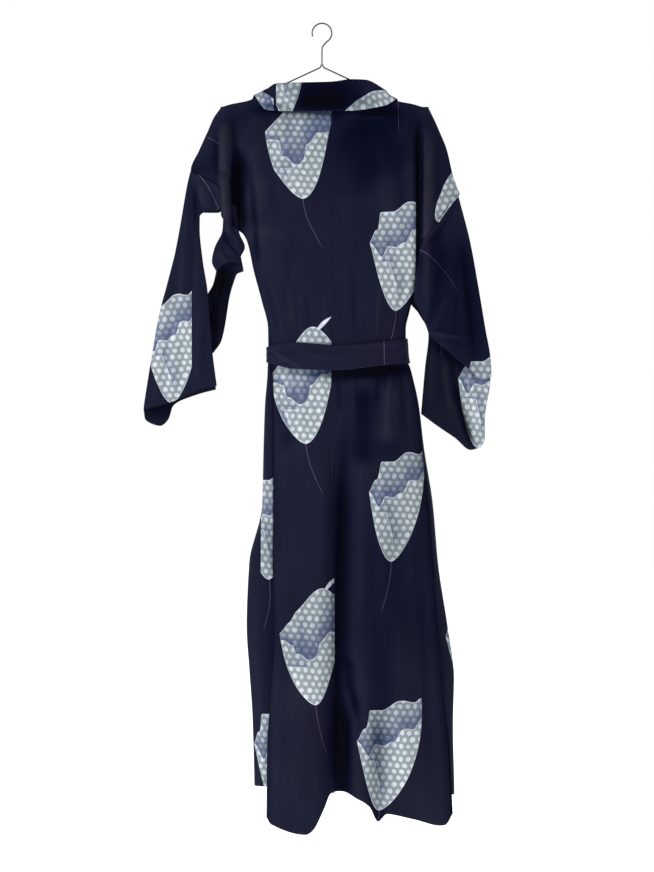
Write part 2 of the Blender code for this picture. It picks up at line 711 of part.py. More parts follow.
def sash_stand_off(turn):
    """Distance from the body's wall: the front carries the layers of the overlap beneath it."""
    if turn <= math.pi:
        return SASH_STEP
    side = math.cos(turn)
    over = smooth_step(*OVERLAP_RISE, side) * (1 - smooth_step(*OVERLAP_FALL, side))
    return mix(SASH_STEP, SASH_FRONT_STEP, over)


def sash_point(turn, z, stand_off):
    """A point outside the section at a turn: 0 is the right side, pi the left, back first."""
    left, right = section("span_left", z), section("span_right", z)
    half = (right - left) / 2
    x = (left + right) / 2 + half * math.cos(turn)
    folds, direction = (BACK_FOLDS, -1) if turn <= math.pi else (FRONT_FOLDS, 1)
    depth = wall_depth(folds, x, z, 0.0)
    bulge = section("depth", z)
    slope = np.array([math.cos(turn) / half, abs(math.sin(turn)) / bulge])
    slope /= np.linalg.norm(slope)
    return (x + slope[0] * stand_off, direction * (depth + slope[1] * stand_off), z)


def sash_place(turn, share):
    """A point of the sash at a turn and at a share of its width."""
    left, right = section("span_left", SASH_LEVEL), section("span_right", SASH_LEVEL)
    x = (left + right) / 2 + (right - left) / 2 * math.cos(turn)
    z = mix(smooth_lookup(SASH, "x", "top", x), smooth_lookup(SASH, "x", "bottom", x), share)
    return sash_point(turn, z, sash_stand_off(turn))


def make_sash(collection, cloth):
    """The sash in two halves that meet at the sides, and its two ends hanging from the knot."""

    def half(first, last):
        return lambda across, down: sash_place(mix(first, last, across / SASH_COLUMNS), down / SASH_ROWS)

    back = half(math.pi - SASH_SIDE_TURN, SASH_SIDE_TURN)
    front = half(math.pi + SASH_SIDE_TURN, 2 * math.pi - SASH_SIDE_TURN)
    add_sheet(collection, "sash_back", SASH_COLUMNS, SASH_ROWS, back, SASH_WALL, cloth)
    add_sheet(collection, "sash_front", SASH_COLUMNS, SASH_ROWS, front, SASH_WALL, cloth)

    for tail in SASH_ENDS:
        def place(across, down, tail=tail):
            u, v = across / SASH_END_COLUMNS, down / SASH_END_ROWS
            width = mix(SASH_END_GATHERED, SASH_END_WIDTH, smooth_step(*SASH_END_SPREAD, v))
            z = mix(SASH_END_TOP, tail.end_z, v)
            x = mix(tail.top_x, tail.end_x, v) + (u - 0.5) * width
            y = front_depth(x, z, 0.0, 0) + SASH_FRONT_STEP + (SASH_WALL + SEAM_GAP) + tail.stand_off * v
            return (x, y, z)

        add_sheet(collection, tail.name, SASH_END_COLUMNS, SASH_END_ROWS, place, SASH_WALL, cloth)


def make_knot(collection, cloth):
    """The knot: a rounded lump pinched at its waist, in front of the sash and its two ends."""
    front = front_depth(KNOT_X, KNOT_HEIGHT, 0.0, 0) + SASH_FRONT_STEP
    middle = front + 1.5 * SASH_WALL + KNOT_GAP + KNOT_SIZE[1]
    shape = bmesh.new()
    bmesh.ops.create_uvsphere(shape, u_segments=KNOT_SEGMENTS, v_segments=KNOT_RINGS, radius=1.0)
    for vertex in shape.verts:
        pinch = 1 - KNOT_PINCH * math.exp(-((vertex.co.x / KNOT_PINCH_WIDTH) ** 2))
        vertex.co.x = (KNOT_X + vertex.co.x * KNOT_SIZE[0]) * MM
        vertex.co.y = (middle + vertex.co.y * KNOT_SIZE[1]) * MM
        vertex.co.z = (KNOT_HEIGHT + vertex.co.z * KNOT_SIZE[2] * pinch) * MM
    mesh = bpy.data.meshes.new("sash_knot")
    shape.to_mesh(mesh)
    shape.free()
    mesh.shade_smooth()
    mesh.materials.append(cloth)
    collection.objects.link(bpy.data.objects.new("sash_knot", mesh))


def add_wire(collection, name, points, material):
    """A round wire through points in millimetres."""
    curve = bpy.data.curves.new(name, "CURVE")
    curve.dimensions = "3D"
    curve.bevel_depth = WIRE_RADIUS * MM
    curve.bevel_resolution = 2
    curve.use_fill_caps = True
    curve.materials.append(material)
    spline = curve.splines.new("POLY")
    spline.points.add(len(points) - 1)
    for spot, point in zip(spline.points, points):
        spot.co = (*[value * MM for value in point], 1.0)
    collection.objects.link(bpy.data.objects.new(name, curve))


def arc(centre_x, centre_z, radius, first, last, count):
    turns = [math.radians(mix(first, last, i / (count - 1))) for i in range(count)]
    return [(centre_x + radius * math.cos(t), 0.0, centre_z + radius * math.sin(t)) for t in turns]


def make_hanger(collection, wire):
    """The wire hanger: two arms with round ends, the bar between them, and the hook over the arms' root."""
    tip_x = HANGER_HALF_WIDTH - TIP_RADIUS
    bar_height = HANGER_BAR_HEIGHT + TIP_DROP
    for name, side in (("hanger_arm_left", -1), ("hanger_arm_right", 1)):
        arm = [(ARM_ROOT, 0.0, ARM_TOP), (ARM_ROOT, 0.0, ARM_TOP - 2 * WIRE_RADIUS)]
        arm += [(x, 0.0, wire_height(x)) for x in ARM_PLACES]
        arm += arc(tip_x, bar_height + TIP_RADIUS, TIP_RADIUS, *TIP_TURNS, 7)
        add_wire(collection, name, [(side * x, y, z) for x, y, z in arm], wire)
    bar_half = tip_x + BAR_PAST_TIP
    bar = [(mix(-bar_half, bar_half, i / BAR_STEPS), 0.0, bar_height) for i in range(BAR_STEPS + 1)]
    add_wire(collection, "hanger_bar", bar, wire)
    hook = arc(0.0, HOOK_CENTRE_HEIGHT, HOOK_RADIUS, *HOOK_TURNS, 17)
    foot = hook[-1][2]
    hook += [(spot.x, 0.0, foot + spot.z) for spot in SHANK]
    hook += [(0.0, 0.0, ARM_TOP + HOOK_GAP)]
    add_wire(collection, "hanger_hook", hook, wire)


def main():
    for old in list(bpy.data.objects):
        bpy.data.objects.remove(old)
    collection = new_collection("kimono")
    cloth = new_material("navy crepe", CLOTH_COLOUR, 0.8)
    wire = new_material("painted wire", WIRE_COLOUR, 0.35)
    make_back(collection, cloth)
    make_front(collection, cloth, "front_left", -1, 1)
    make_front(collection, cloth, "front_right", 1, 0)
    make_okumi(collection, cloth, "okumi_left", -1, 1)
    make_okumi(collection, cloth, "okumi_right", 1, 0)
    make_collar_back(collection, cloth)
    make_collar_front(collection, cloth, "collar_left", -1, 1, LEFT_COLLAR_TOP)
    make_collar_front(collection, cloth, "collar_right", 1, 0, RIGHT_COLLAR_TOP)
    make_sleeves(collection, cloth)
    make_sash(collection, cloth)
    make_knot(collection, cloth)
    make_hanger(collection, wire)


main()
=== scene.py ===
import math

import bpy
import numpy as np
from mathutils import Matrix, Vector


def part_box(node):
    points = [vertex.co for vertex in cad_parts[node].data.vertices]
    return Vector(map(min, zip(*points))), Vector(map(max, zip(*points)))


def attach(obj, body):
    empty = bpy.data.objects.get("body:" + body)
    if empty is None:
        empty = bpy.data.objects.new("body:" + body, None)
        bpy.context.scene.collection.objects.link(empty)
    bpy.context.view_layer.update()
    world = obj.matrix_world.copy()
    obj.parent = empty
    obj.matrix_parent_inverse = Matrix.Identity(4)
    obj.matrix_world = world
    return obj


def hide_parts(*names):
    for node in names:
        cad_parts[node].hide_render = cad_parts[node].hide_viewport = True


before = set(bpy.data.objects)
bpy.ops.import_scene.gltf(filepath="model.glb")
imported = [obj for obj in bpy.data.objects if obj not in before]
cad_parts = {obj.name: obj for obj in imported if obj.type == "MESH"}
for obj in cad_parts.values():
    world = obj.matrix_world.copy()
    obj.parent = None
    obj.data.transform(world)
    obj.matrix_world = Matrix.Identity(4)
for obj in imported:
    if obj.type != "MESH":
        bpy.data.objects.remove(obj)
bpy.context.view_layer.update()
mm = 0.001


# Smooth lines and small helpers

def smoothStep(low, high, value):
    t = np.clip((np.asarray(value, float) - low) / (high - low), 0, 1)
    return t * t * (3 - 2 * t)


def mix(a, b, share):
    return a + (b - a) * share


def curveThrough(places, values, at):
    # a smooth line through points that never overshoots them
    order = np.argsort(places)
    xs, ys = np.asarray(places, float)[order], np.asarray(values, float)[order]
    at = np.clip(at, xs[0], xs[-1])
    steps = np.diff(xs)
    slopes = np.diff(ys) / steps
    before, after = slopes[:-1], slopes[1:]
    same = before * after > 0
    inner = np.where(same, 2 * before * after / np.where(same, before + after, 1), 0)
    tangents = np.concatenate([slopes[:1], inner, slopes[-1:]])
    i = np.clip(np.searchsorted(xs, at) - 1, 0, len(steps) - 1)
    t = (at - xs[i]) / steps[i]
    rise = (t ** 3 - 2 * t ** 2 + t) * tangents[i] + (t ** 3 - t ** 2) * tangents[i + 1]
    return mix(ys[i], ys[i + 1], 3 * t ** 2 - 2 * t ** 3) + rise * steps[i]


def fadedEnds(share, start, full):
    # 0 at both ends of a stretch that runs from 0 to 1, and 1 between them
    return smoothStep(start, full, share) * smoothStep(start, full, 1 - share)


# The garment's own form

body = {
    "layerGap": 0.95,
    "sectionPower": 2.4,
    "sectionRound": 0.6,
    "topBlend": 60,
    "topDrop": 7,
    "centreBack": 19,
    "firstLevel": -180,
    "straightLevel": -300,
    "hemStart": -1000,
    "hemLevel": -1640,
    "levels": [-173, -191, -223, -262, -306, -318, -332, -349, -375, -400, -418, -433, -460, -512, -576, -632,
               -690, -730, -790, -880, -1000, -1127, -1269, -1381, -1481, -1640],
    "left": [-210, -223, -237, -254, -272, -246, -222, -208, -208, -208, -192, -166, -153, -142, -125, -112,
             -111, -112, -117, -120, -123, -150, -155, -149, -143, -139],
    "right": [220, 229, 243, 258, 268, 271, 276, 281, 263, 245, 233, 223, 206, 195, 184, 173,
              176, 186, 199, 210, 229, 240, 260, 273, 271, 274],
    # how far the whole section reaches above the waist; below it, that is the outline and a margin
    "spanLeft": [-212, -225, -239, -256, -273, -272, -270, -266, -254, -240, -226, -206, -172, -146, -127],
    "spanRight": [222, 231, 245, 260, 270, 274, 279, 283, 274, 262, 250, 238, 218, 200, 186],
    "spanMargin": 1,
    # the side seams below the waist; above it they are the outline
    "seamLeft": [-102, -100, -100, -100, -100, -96, -104, -112, -114],
    "seamRight": [185, 197, 206, 217, 229, 241, 250, 262, 270],
    "depth": [2, 5, 10, 16, 21, 22, 23, 24, 26, 27, 28, 29, 30, 33, 36, 39,
              41, 44, 50, 56, 61, 65, 69, 72, 75, 80],
    "foldEnds": (0, 0.25),
    # xTop zTop xEnd zEnd halfWidth height, a trough below 0
    "backFolds": [
        (-200, -190, -201, -440, 13, 13), (-172, -250, -168, -450, 17, -15), (-143, -300, -128, -520, 9, -5),
        (222, -185, 216, -600, 12, 10), (202, -175, 199, -600, 8, -7), (89, -738, 85, -930, 22, -9),
        (144, -738, 133, -880, 18, 9), (-60, -738, -72, -900, 16, -6), (46, -790, 22, -1760, 27, -26),
        (48, -1320, 80, -1470, 12, -8), (-50, -1250, -52, -1800, 52, 13), (190, -1200, 205, -1800, 55, 12),
        (112, -1380, 116, -1760, 20, -9),
    ],
    "frontFolds": [
        (-150, -240, -120, -640, 14, -7), (175, -250, 130, -640, 16, -7), (-60, -738, -85, -1500, 18, -10),
        (120, -738, 150, -1760, 20, -13), (60, -738, 70, -1760, 22, 8), (-10, -1000, -25, -1800, 24, -12),
        (200, -1100, 220, -1800, 24, 8),
    ],
}

shoulder = {
    "wrapRadius": 3.0,
    "neckLeft": -147,
    "neckRight": 150,
    "neckFade": 20,
    "neckDrop": 21,
    "neckMiddle": 6,
    "neckReach": 140,
    "neckBulge": 7,
    "wireX": [0, 125, 152, 190, 208],
    "wireZ": [-89, -148, -162.5, -170.5, -176],
    "neckX": [-142, -126, -112, 19, 60, 121, 152],
    "neckZ": [-158, -167, -175, -177, -176, -168, -161],
    "hangerHalfWidth": 208,
    "hangerEnds": (3, 14),
    "hangerBarHeight": -200,
    "hangerBarFade": 25,
}

hems = {
    "backX": [-114, -104, -33, -19, 4, 19, 37, 77, 98, 114, 133, 185, 254, 266, 277],
    "backZ": [-1643, -1656, -1670, -1662, -1620, -1588, -1584, -1600, -1616, -1646, -1629, -1639, -1660,
              -1647, -1629],
    "frontX": [-160, 0, 100, 200, 277],
    "frontZ": [-1590, -1572, -1572, -1588, -1606],
}

heights = np.arange(-1800.0, -80.0, 1.0)


def sectionValues():
    # the named lines of the sections at each level; spans and seams share stretches of the outlines
    lines = {"depth": body["depth"]}
    for side, name, sign in (("left", "Left", -1), ("right", "Right", 1)):
        edge, span, seam = body[side], body["span" + name], body["seam" + name]
        lines[side] = edge
        lines["span" + name] = span + [x + sign * body["spanMargin"] for x in edge[len(span):]]
        lines["seam" + name] = edge[:-len(seam)] + seam
    return lines


sectionLines = {name: curveThrough(body["levels"], line, heights) for name, line in sectionValues().items()}


def section(name, z):
    return np.interp(z, heights, sectionLines[name])


def spanShare(x, z):
    # -1 at the left end of the section, 1 at its right end
    left, right = section("spanLeft", z), section("spanRight", z)
    return (2 * x - left - right) / (right - left)


def spanPlace(share, z):
    left, right = section("spanLeft", z), section("spanRight", z)
    return (left + right) / 2 + share * (right - left) / 2


def profile(x, z):
    side = np.minimum(np.abs(spanShare(x, z)), 1)
    return (1 - side ** body["sectionPower"]) ** body["sectionRound"]


def foldHeight(folds, x, z):
    total = 0
    for xTop, zTop, xEnd, zEnd, halfWidth, height in folds:
        along = np.clip((zTop - z) / (zTop - zEnd), 0, 1)
        away = (x - mix(xTop, xEnd, along)) / halfWidth
        total = total + height * fadedEnds(along, *body["foldEnds"]) * np.exp(-(away ** 2))
    return total


def wireHeight(x):
    return curveThrough(shoulder["wireX"], shoulder["wireZ"], np.abs(x))


def wrapShare(x, inset=0):
    # 1 where the cloth lies over the wire, 0 inside the neck
    left, right, fade = shoulder["neckLeft"] + inset, shoulder["neckRight"] - inset, shoulder["neckFade"]
    return np.maximum(1 - smoothStep(left, left + fade, x), smoothStep(right - fade, right, x))


def topDepth(x):
    neck = np.maximum(0, 1 - ((x - shoulder["neckMiddle"]) / shoulder["neckReach"]) ** 2)
    return shoulder["wrapRadius"] + shoulder["neckBulge"] * neck


def topEdge(x):
    neck = curveThrough(shoulder["neckX"], shoulder["neckZ"], x)
    return mix(neck, wireHeight(x), wrapShare(x, shoulder["neckDrop"]))


def hangerClearance(x, z):
    # the cloth keeps outside the wires, down to the bar
    near, far = (shoulder["hangerHalfWidth"] + reach for reach in shoulder["hangerEnds"])
    bar = -shoulder["hangerBarHeight"]
    above = 1 - smoothStep(bar, bar + shoulder["hangerBarFade"], -z)
    return shoulder["wrapRadius"] * (1 - smoothStep(near, far, np.abs(x))) * above


def wallDepth(folds, x, z, top):
    # how far the cloth stands from the plane of the hanger
    bulge = body["layerGap"] + section("depth", z) * profile(x, z) + foldHeight(folds, x, z)
    depth = mix(topDepth(x), bulge, smoothStep(0, body["topBlend"], top - z))
    return np.maximum(np.maximum(depth, body["layerGap"]), hangerClearance(x, z))


def hemHeight(side, x, z):
    share = smoothStep(-body["hemStart"], -body["hemLevel"], -z)
    return z + share * (curveThrough(hems[side + "X"], hems[side + "Z"], x) - body["hemLevel"])


def levelHeight(level, x):
    # a level follows the shoulder line first, then runs straight across
    first = body["firstLevel"]
    share = smoothStep(-first, -body["straightLevel"], -level)
    return mix(topEdge(x) + (level - first) - body["topDrop"], level, share)


def panelLevels(step):
    return np.arange(body["firstLevel"], body["hemLevel"] - 1, -step)


# Creases, rumple and the shade of folds

clothForm = {
    "wall": 1.2,
    "creaseEnds": (-0.08, 0.3),
    "rumpleEnds": (0, 0.1),
    "reliefHeights": (-150, -215),
    # a rumple's waves: how many, the least and greatest size across and down, sway and strength
    "waves": 9,
    "waveAcross": (0.6, 1.7),
    "waveDown": (2.2, 6),
    "waveSway": 1.3,
    "waveStrength": (0.4, 1),
    "waveShare": 4,
    # rows and columns that a place is compared with, the depth that counts as deep, least and most shade
    "shadeSteps": [((7, 5), 16, (-0.3, 0.45)), ((18, 12), 40, (-0.2, 0.45))],
    "shadeLimits": (-0.6, 1),
}


def gridNormals(points):
    down = np.gradient(points, axis=0)
    across = np.gradient(points, axis=1)
    normals = np.cross(down, across)
    return normals / np.maximum(np.linalg.norm(normals, axis=2, keepdims=True), 1e-9)


def creaseHeight(creases, x, z):
    # x0 z0 x1 z1 halfWidth height: a soft ridge from one place to another, or a trough below 0
    total = np.zeros_like(x)
    for x0, z0, x1, z1, halfWidth, height in creases:
        length = math.hypot(x1 - x0, z1 - z0)
        along = ((x - x0) * (x1 - x0) + (z - z0) * (z1 - z0)) / length ** 2
        beside = ((x - x0) * (z1 - z0) - (z - z0) * (x1 - x0)) / length
        total += height * fadedEnds(along, *clothForm["creaseEnds"]) * np.exp(-((beside / halfWidth) ** 2))
    return total


def rumple(x, z, seed, size, height):
    # uneven soft cloth: a few waves that run mostly down the panel
    form = clothForm
    draws = np.random.default_rng(seed)
    total = np.zeros_like(x)
    for _ in range(form["waves"]):
        acrossSize = size * draws.uniform(*form["waveAcross"])
        downSize = size * draws.uniform(*form["waveDown"])
        start = draws.uniform(0, 2 * math.pi, 2)
        sway = form["waveSway"] * np.sin(z / downSize + start[1])
        total += np.sin(x / acrossSize + start[0] + sway) * draws.uniform(*form["waveStrength"])
    return height * total / form["waveShare"]


def addRelief(points, creases, rumpleSizes, seed, outward):
    # creases and rumple along the cloth's own normals, from below the shoulder line down
    x, z = points[:, :, 0], points[:, :, 2]
    inside = fadedEnds(np.linspace(0, 1, points.shape[1]), *clothForm["rumpleEnds"])
    relief = creaseHeight(creases, x, z) + rumple(x, z, seed, *rumpleSizes) * inside
    start, full = clothForm["reliefHeights"]
    relief *= smoothStep(-start, -full, -z)
    normals = gridNormals(points)
    normals *= np.sign(normals[:, :, 1:2] * outward + 1e-9)
    return points + normals * relief[:, :, None]


def blurred(values, rows, columns):
    # the mean of a neighbourhood on the grid, with its edges repeated
    for axis, reach in ((0, rows), (1, columns)):
        padding = [(reach, reach) if i == axis else (0, 0) for i in (0, 1)]
        sums = np.cumsum(np.pad(values, padding, mode="edge"), axis=axis)
        sums = np.concatenate([np.zeros_like(np.take(sums, [0], axis)), sums], axis=axis)
        count = values.shape[axis]
        high = np.take(sums, np.arange(count) + 2 * reach + 1, axis)
        values = (high - np.take(sums, np.arange(count), axis)) / (2 * reach + 1)
    return values


def foldShade(points, outward, shades=()):
    # painted shade: 0 on open cloth, up to 1 where it lies deep between its folds or under another piece
    height = outward * points[:, :, 1]
    shade = sum(np.clip((blurred(height, *reach) - height) / deep, *limits)
                for reach, deep, limits in clothForm["shadeSteps"])
    return np.clip(shade + creaseHeight(shades, points[:, :, 0], points[:, :, 2]), *clothForm["shadeLimits"])


def measureCloth(points):
    # distance along the cloth from its first column and its first row, in millimetres
    steps = np.linalg.norm(np.diff(points, axis=1), axis=2)
    across = np.concatenate([np.zeros((len(points), 1)), np.cumsum(steps, axis=1)], axis=1)
    steps = np.linalg.norm(np.diff(points, axis=0), axis=2)
    down = np.concatenate([np.zeros((1, points.shape[1])), np.cumsum(steps, axis=0)], axis=0)
    return across, down


# Shader nodes, written as formulas

class nodeValue:
    # one value in a shader, so that a formula can be written as one
    def __init__(self, tree, socket):
        self.tree, self.socket = tree, socket

    def use(self, operation, *others, kind="ShaderNodeMath"):
        node = self.tree.nodes.new(kind)
        node.operation = operation
        for slot, value in zip(node.inputs, (self, *others)):
            plug(self.tree, value, slot)
        return nodeValue(self.tree, node.outputs[0])

    def __add__(self, other):
        return self.use("ADD", other)

    def __sub__(self, other):
        return self.use("SUBTRACT", other)

    def __rsub__(self, other):
        return self.use("MULTIPLY", -1.0) + other

    def __mul__(self, other):
        return self.use("MULTIPLY", other)

    def __truediv__(self, other):
        return self.use("DIVIDE", other)

    def __pow__(self, other):
        return self.use("POWER", other)

    __radd__, __rmul__ = __add__, __mul__

    def least(self, other):
        return self.use("MINIMUM", other)

    def most(self, other):
        return self.use("MAXIMUM", other)

    def softLeast(self, other, distance):
        node = self.use("SMOOTH_MIN", other)
        node.socket.node.inputs[2].default_value = distance
        return node

    def size(self):
        return self.use("ABSOLUTE")

    def sine(self):
        return self.use("SINE")

    def fade(self):
        return self.use("MULTIPLY", -1.0).use("EXPONENT")

    def bell(self, centre, width):
        away = (self - centre) / width
        return (away * away).fade()

    def rise(self, low, high):
        node = self.tree.nodes.new("ShaderNodeMapRange")
        node.interpolation_type = "SMOOTHSTEP"
        for name, value in (("Value", self), ("From Min", low), ("From Max", high)):
            plug(self.tree, value, node.inputs[name])
        return nodeValue(self.tree, node.outputs[0])


def plug(tree, value, socket):
    if isinstance(value, nodeValue):
        tree.links.new(value.socket, socket)
    elif value is not None:
        socket.default_value = value


def addNode(tree, kind, output=0, settings=None, **values):
    # a node with its named inputs plugged, and the value that it puts out
    node = tree.nodes.new(kind)
    for name, value in (settings or {}).items():
        setattr(node, name, value)
    for name, value in values.items():
        plug(tree, value, node.inputs[name.replace("_", " ")])
    return nodeValue(tree, node.outputs[output])


def blend(tree, first, second, share):
    node = tree.nodes.new("ShaderNodeMix")
    node.data_type = "RGBA"
    plug(tree, share, node.inputs[0])
    plug(tree, first, node.inputs[6])
    plug(tree, second, node.inputs[7])
    return nodeValue(tree, node.outputs[2])


def parts(tree, vector):
    node = tree.nodes.new("ShaderNodeSeparateXYZ")
    plug(tree, vector, node.inputs[0])
    return [nodeValue(tree, out) for out in node.outputs]


def joined(tree, x, y, z=0.0):
    return addNode(tree, "ShaderNodeCombineXYZ", X=x, Y=y, Z=z)


def noise(tree, place, scale, detail):
    return addNode(tree, "ShaderNodeTexNoise", Vector=place, Scale=scale, Detail=detail)


socketKinds = {0: "NodeSocketFloat", 3: "NodeSocketVector", 4: "NodeSocketColor"}    # by a value's length


def newGroup(name, inputs, outputs):
    tree = bpy.data.node_groups.new(name, "ShaderNodeTree")
    for label, value in inputs.items():
        kind = socketKinds[len(np.shape(value)) and len(value)]
        tree.interface.new_socket(name=label, in_out="INPUT", socket_type=kind).default_value = value
    for label, kind in outputs.items():
        tree.interface.new_socket(name=label, in_out="OUTPUT", socket_type="NodeSocket" + kind)
    entry, leaving = tree.nodes.new("NodeGroupInput"), tree.nodes.new("NodeGroupOutput")
    given = {label: nodeValue(tree, entry.outputs[label]) for label in inputs}
    return tree, given, leaving


def useGroup(tree, group, **values):
    node = tree.nodes.new("ShaderNodeGroup")
    node.node_tree = group
    for name, value in values.items():
        plug(tree, value, node.inputs[name.replace("_", " ")])
    return {out.name: nodeValue(tree, out) for out in node.outputs}


def newMaterial(name):
    material = bpy.data.materials.new(name)
    material.use_nodes = True
    return material, material.node_tree, material.node_tree.nodes["Principled BSDF"]


def screenColour(red, green, blue):
    # a colour as a screen shows it, 0 to 255, turned to the linear values that shaders use
    values = [value / 255 for value in (red, green, blue)]
    return (*[v / 12.92 if v <= 0.04045 else ((v + 0.055) / 1.055) ** 2.4 for v in values], 1.0)


# The print: pale dotted leaves, each with a fold of its own drawing

printed = {
    "leafHeight": 215.0,
    "flatness": 0.7,
    "halfWidth": 0.29,
    "narrowing": 0.028,
    "widening": 0.15,
    "lean": (-0.065, 0.11),
    "budPlace": (0.085, 1.06),
    "budLength": 0.22,
    "dotSpacing": 15.2,
    "dotRow": 0.87,
    "dotRadius": 0.31,
    "stemLength": 0.52,
    "stemWidth": 0.0026,
    # where a leaf's middle is, the weight of what lies above it, and how far a piece's limits reach and fade
    "middle": (0.03, 0.35),
    "upperWeight": 0.7,
    "limitReach": 5,
    "limitFade": 6,
    "farAway": 9.0,
    # steps up or down across a leaf: from, to and height
    "waveSteps": [(-1.04, -0.74, 0.12), (-0.72, -0.50, 0.17), (-0.12, 0.5, 0.09), (0.6, 0.9, -0.02),
                  (0.95, 1.12, 0.03)],
    "pocketSteps": [(-0.60, -0.46, -0.165), (-0.46, 0.02, -0.08), (0.06, 0.24, 0.05), (0.2, 0.33, 0.16),
                    (0.36, 0.75, 0.11)],
    "rolledSteps": [(-1.02, -0.62, -0.14), (-0.64, -0.40, 0.09), (-0.14, 0.2, 0.035), (0.2, 0.48, 0.12),
                    (0.78, 1.1, 0.08)],
    "ground": screenColour(140, 151, 158),
    "dots": screenColour(204, 212, 216),
    "fold": screenColour(78, 89, 122),
    "edge": screenColour(214, 218, 232),
    "stem": screenColour(98, 82, 112),
}


def grainPlaces(points, grain, outward):
    # each point's place on the cloth for its print: across from the named column, to the right, and height
    if grain == "flat":
        return points[:, :, 0], points[:, :, 2]
    if grain == "front":
        return -points[:, :, 0], points[:, :, 2]
    calm = np.stack([blurred(points[:, :, i], 5, 1) for i in range(3)], axis=2)
    across, down = measureCloth(calm)
    column = {"first": 0, "last": -1, "band": points.shape[1] // 2}[grain]
    across = (across[:, column][:, None] - across) * outward
    if grain == "band":
        return across, -down
    return mix(across, points[:, :, 0] - points[:, column, 0][:, None], printed["flatness"]), points[:, :, 2]


def faceCorners(values):
    corners = values[:-1, :-1], values[1:, :-1], values[1:, 1:], values[:-1, 1:]
    return np.stack(corners, axis=2).reshape(-1, 4)


def leafPlaces(points, leaves, strips, grain, outward):
    # leaf coordinates at the corners of each face, from the leaf that is nearest to the face; strips are
    # the leaves of cloth that has turned round to the other side
    turned = points[:, :, 1] * outward < 0
    faceTurned = faceCorners(turned.astype(float)).mean(axis=1) > 0.5
    x = faceCorners(points[:, :, 0])
    middleX = x.mean(axis=1)
    places = np.full((len(x), 4, 2), printed["farAway"])
    kinds = np.zeros_like(places)
    nearest = np.full(len(x), printed["farAway"])
    plans = (leaves, grain, False), (strips, "first" if grain == "front" else grain, True)
    for rows, rowGrain, onStrip in plans:
        if not rows:
            continue
        across, height = grainPlaces(points, rowGrain, outward)
        for placeX, placeZ, u, v, turn, kind, shown, *limits in rows:
            reach = np.hypot(points[:, :, 0] - placeX, points[:, :, 2] - placeZ)
            if strips:
                reach = np.where(turned == onStrip, reach, reach.max())
            row, column = np.unravel_index(reach.argmin(), reach.shape)
            right = faceCorners(across - across[row, column]) / printed["leafHeight"]
            up = faceCorners(height - height[row, column]) / printed["leafHeight"]
            lean = math.radians(turn)
            leafU = right * math.cos(lean) - up * math.sin(lean) + u
            leafV = right * math.sin(lean) + up * math.cos(lean) + v
            beside = leafU.mean(axis=1) - printed["middle"][0]
            above = leafV.mean(axis=1) - printed["middle"][1]
            away = np.hypot(beside, np.where(above < 0, -above, printed["upperWeight"] * above))
            mine = away < nearest
            hidden = np.full_like(leafU, shown)
            if strips:
                mine &= faceTurned == onStrip
            if limits:
                low, high = limits
                mine &= (middleX > low - printed["limitReach"]) & (middleX < high + printed["limitReach"])
                beyond = np.maximum(low - x, x - high)
                hidden = np.clip(np.maximum(hidden, 0.5 + beyond / printed["limitFade"]), -1, 1)
            nearest[mine] = away[mine]
            places[mine] = np.stack([leafU, leafV], axis=2)[mine]
            kinds[mine] = np.stack([np.full_like(hidden, kind), hidden], axis=2)[mine]
    return places, kinds


def stepped(across, height, steps):
    # a line that rises or falls smoothly at each step
    for low, high, rise in steps:
        height = across.rise(low, high) * rise + height
    return height


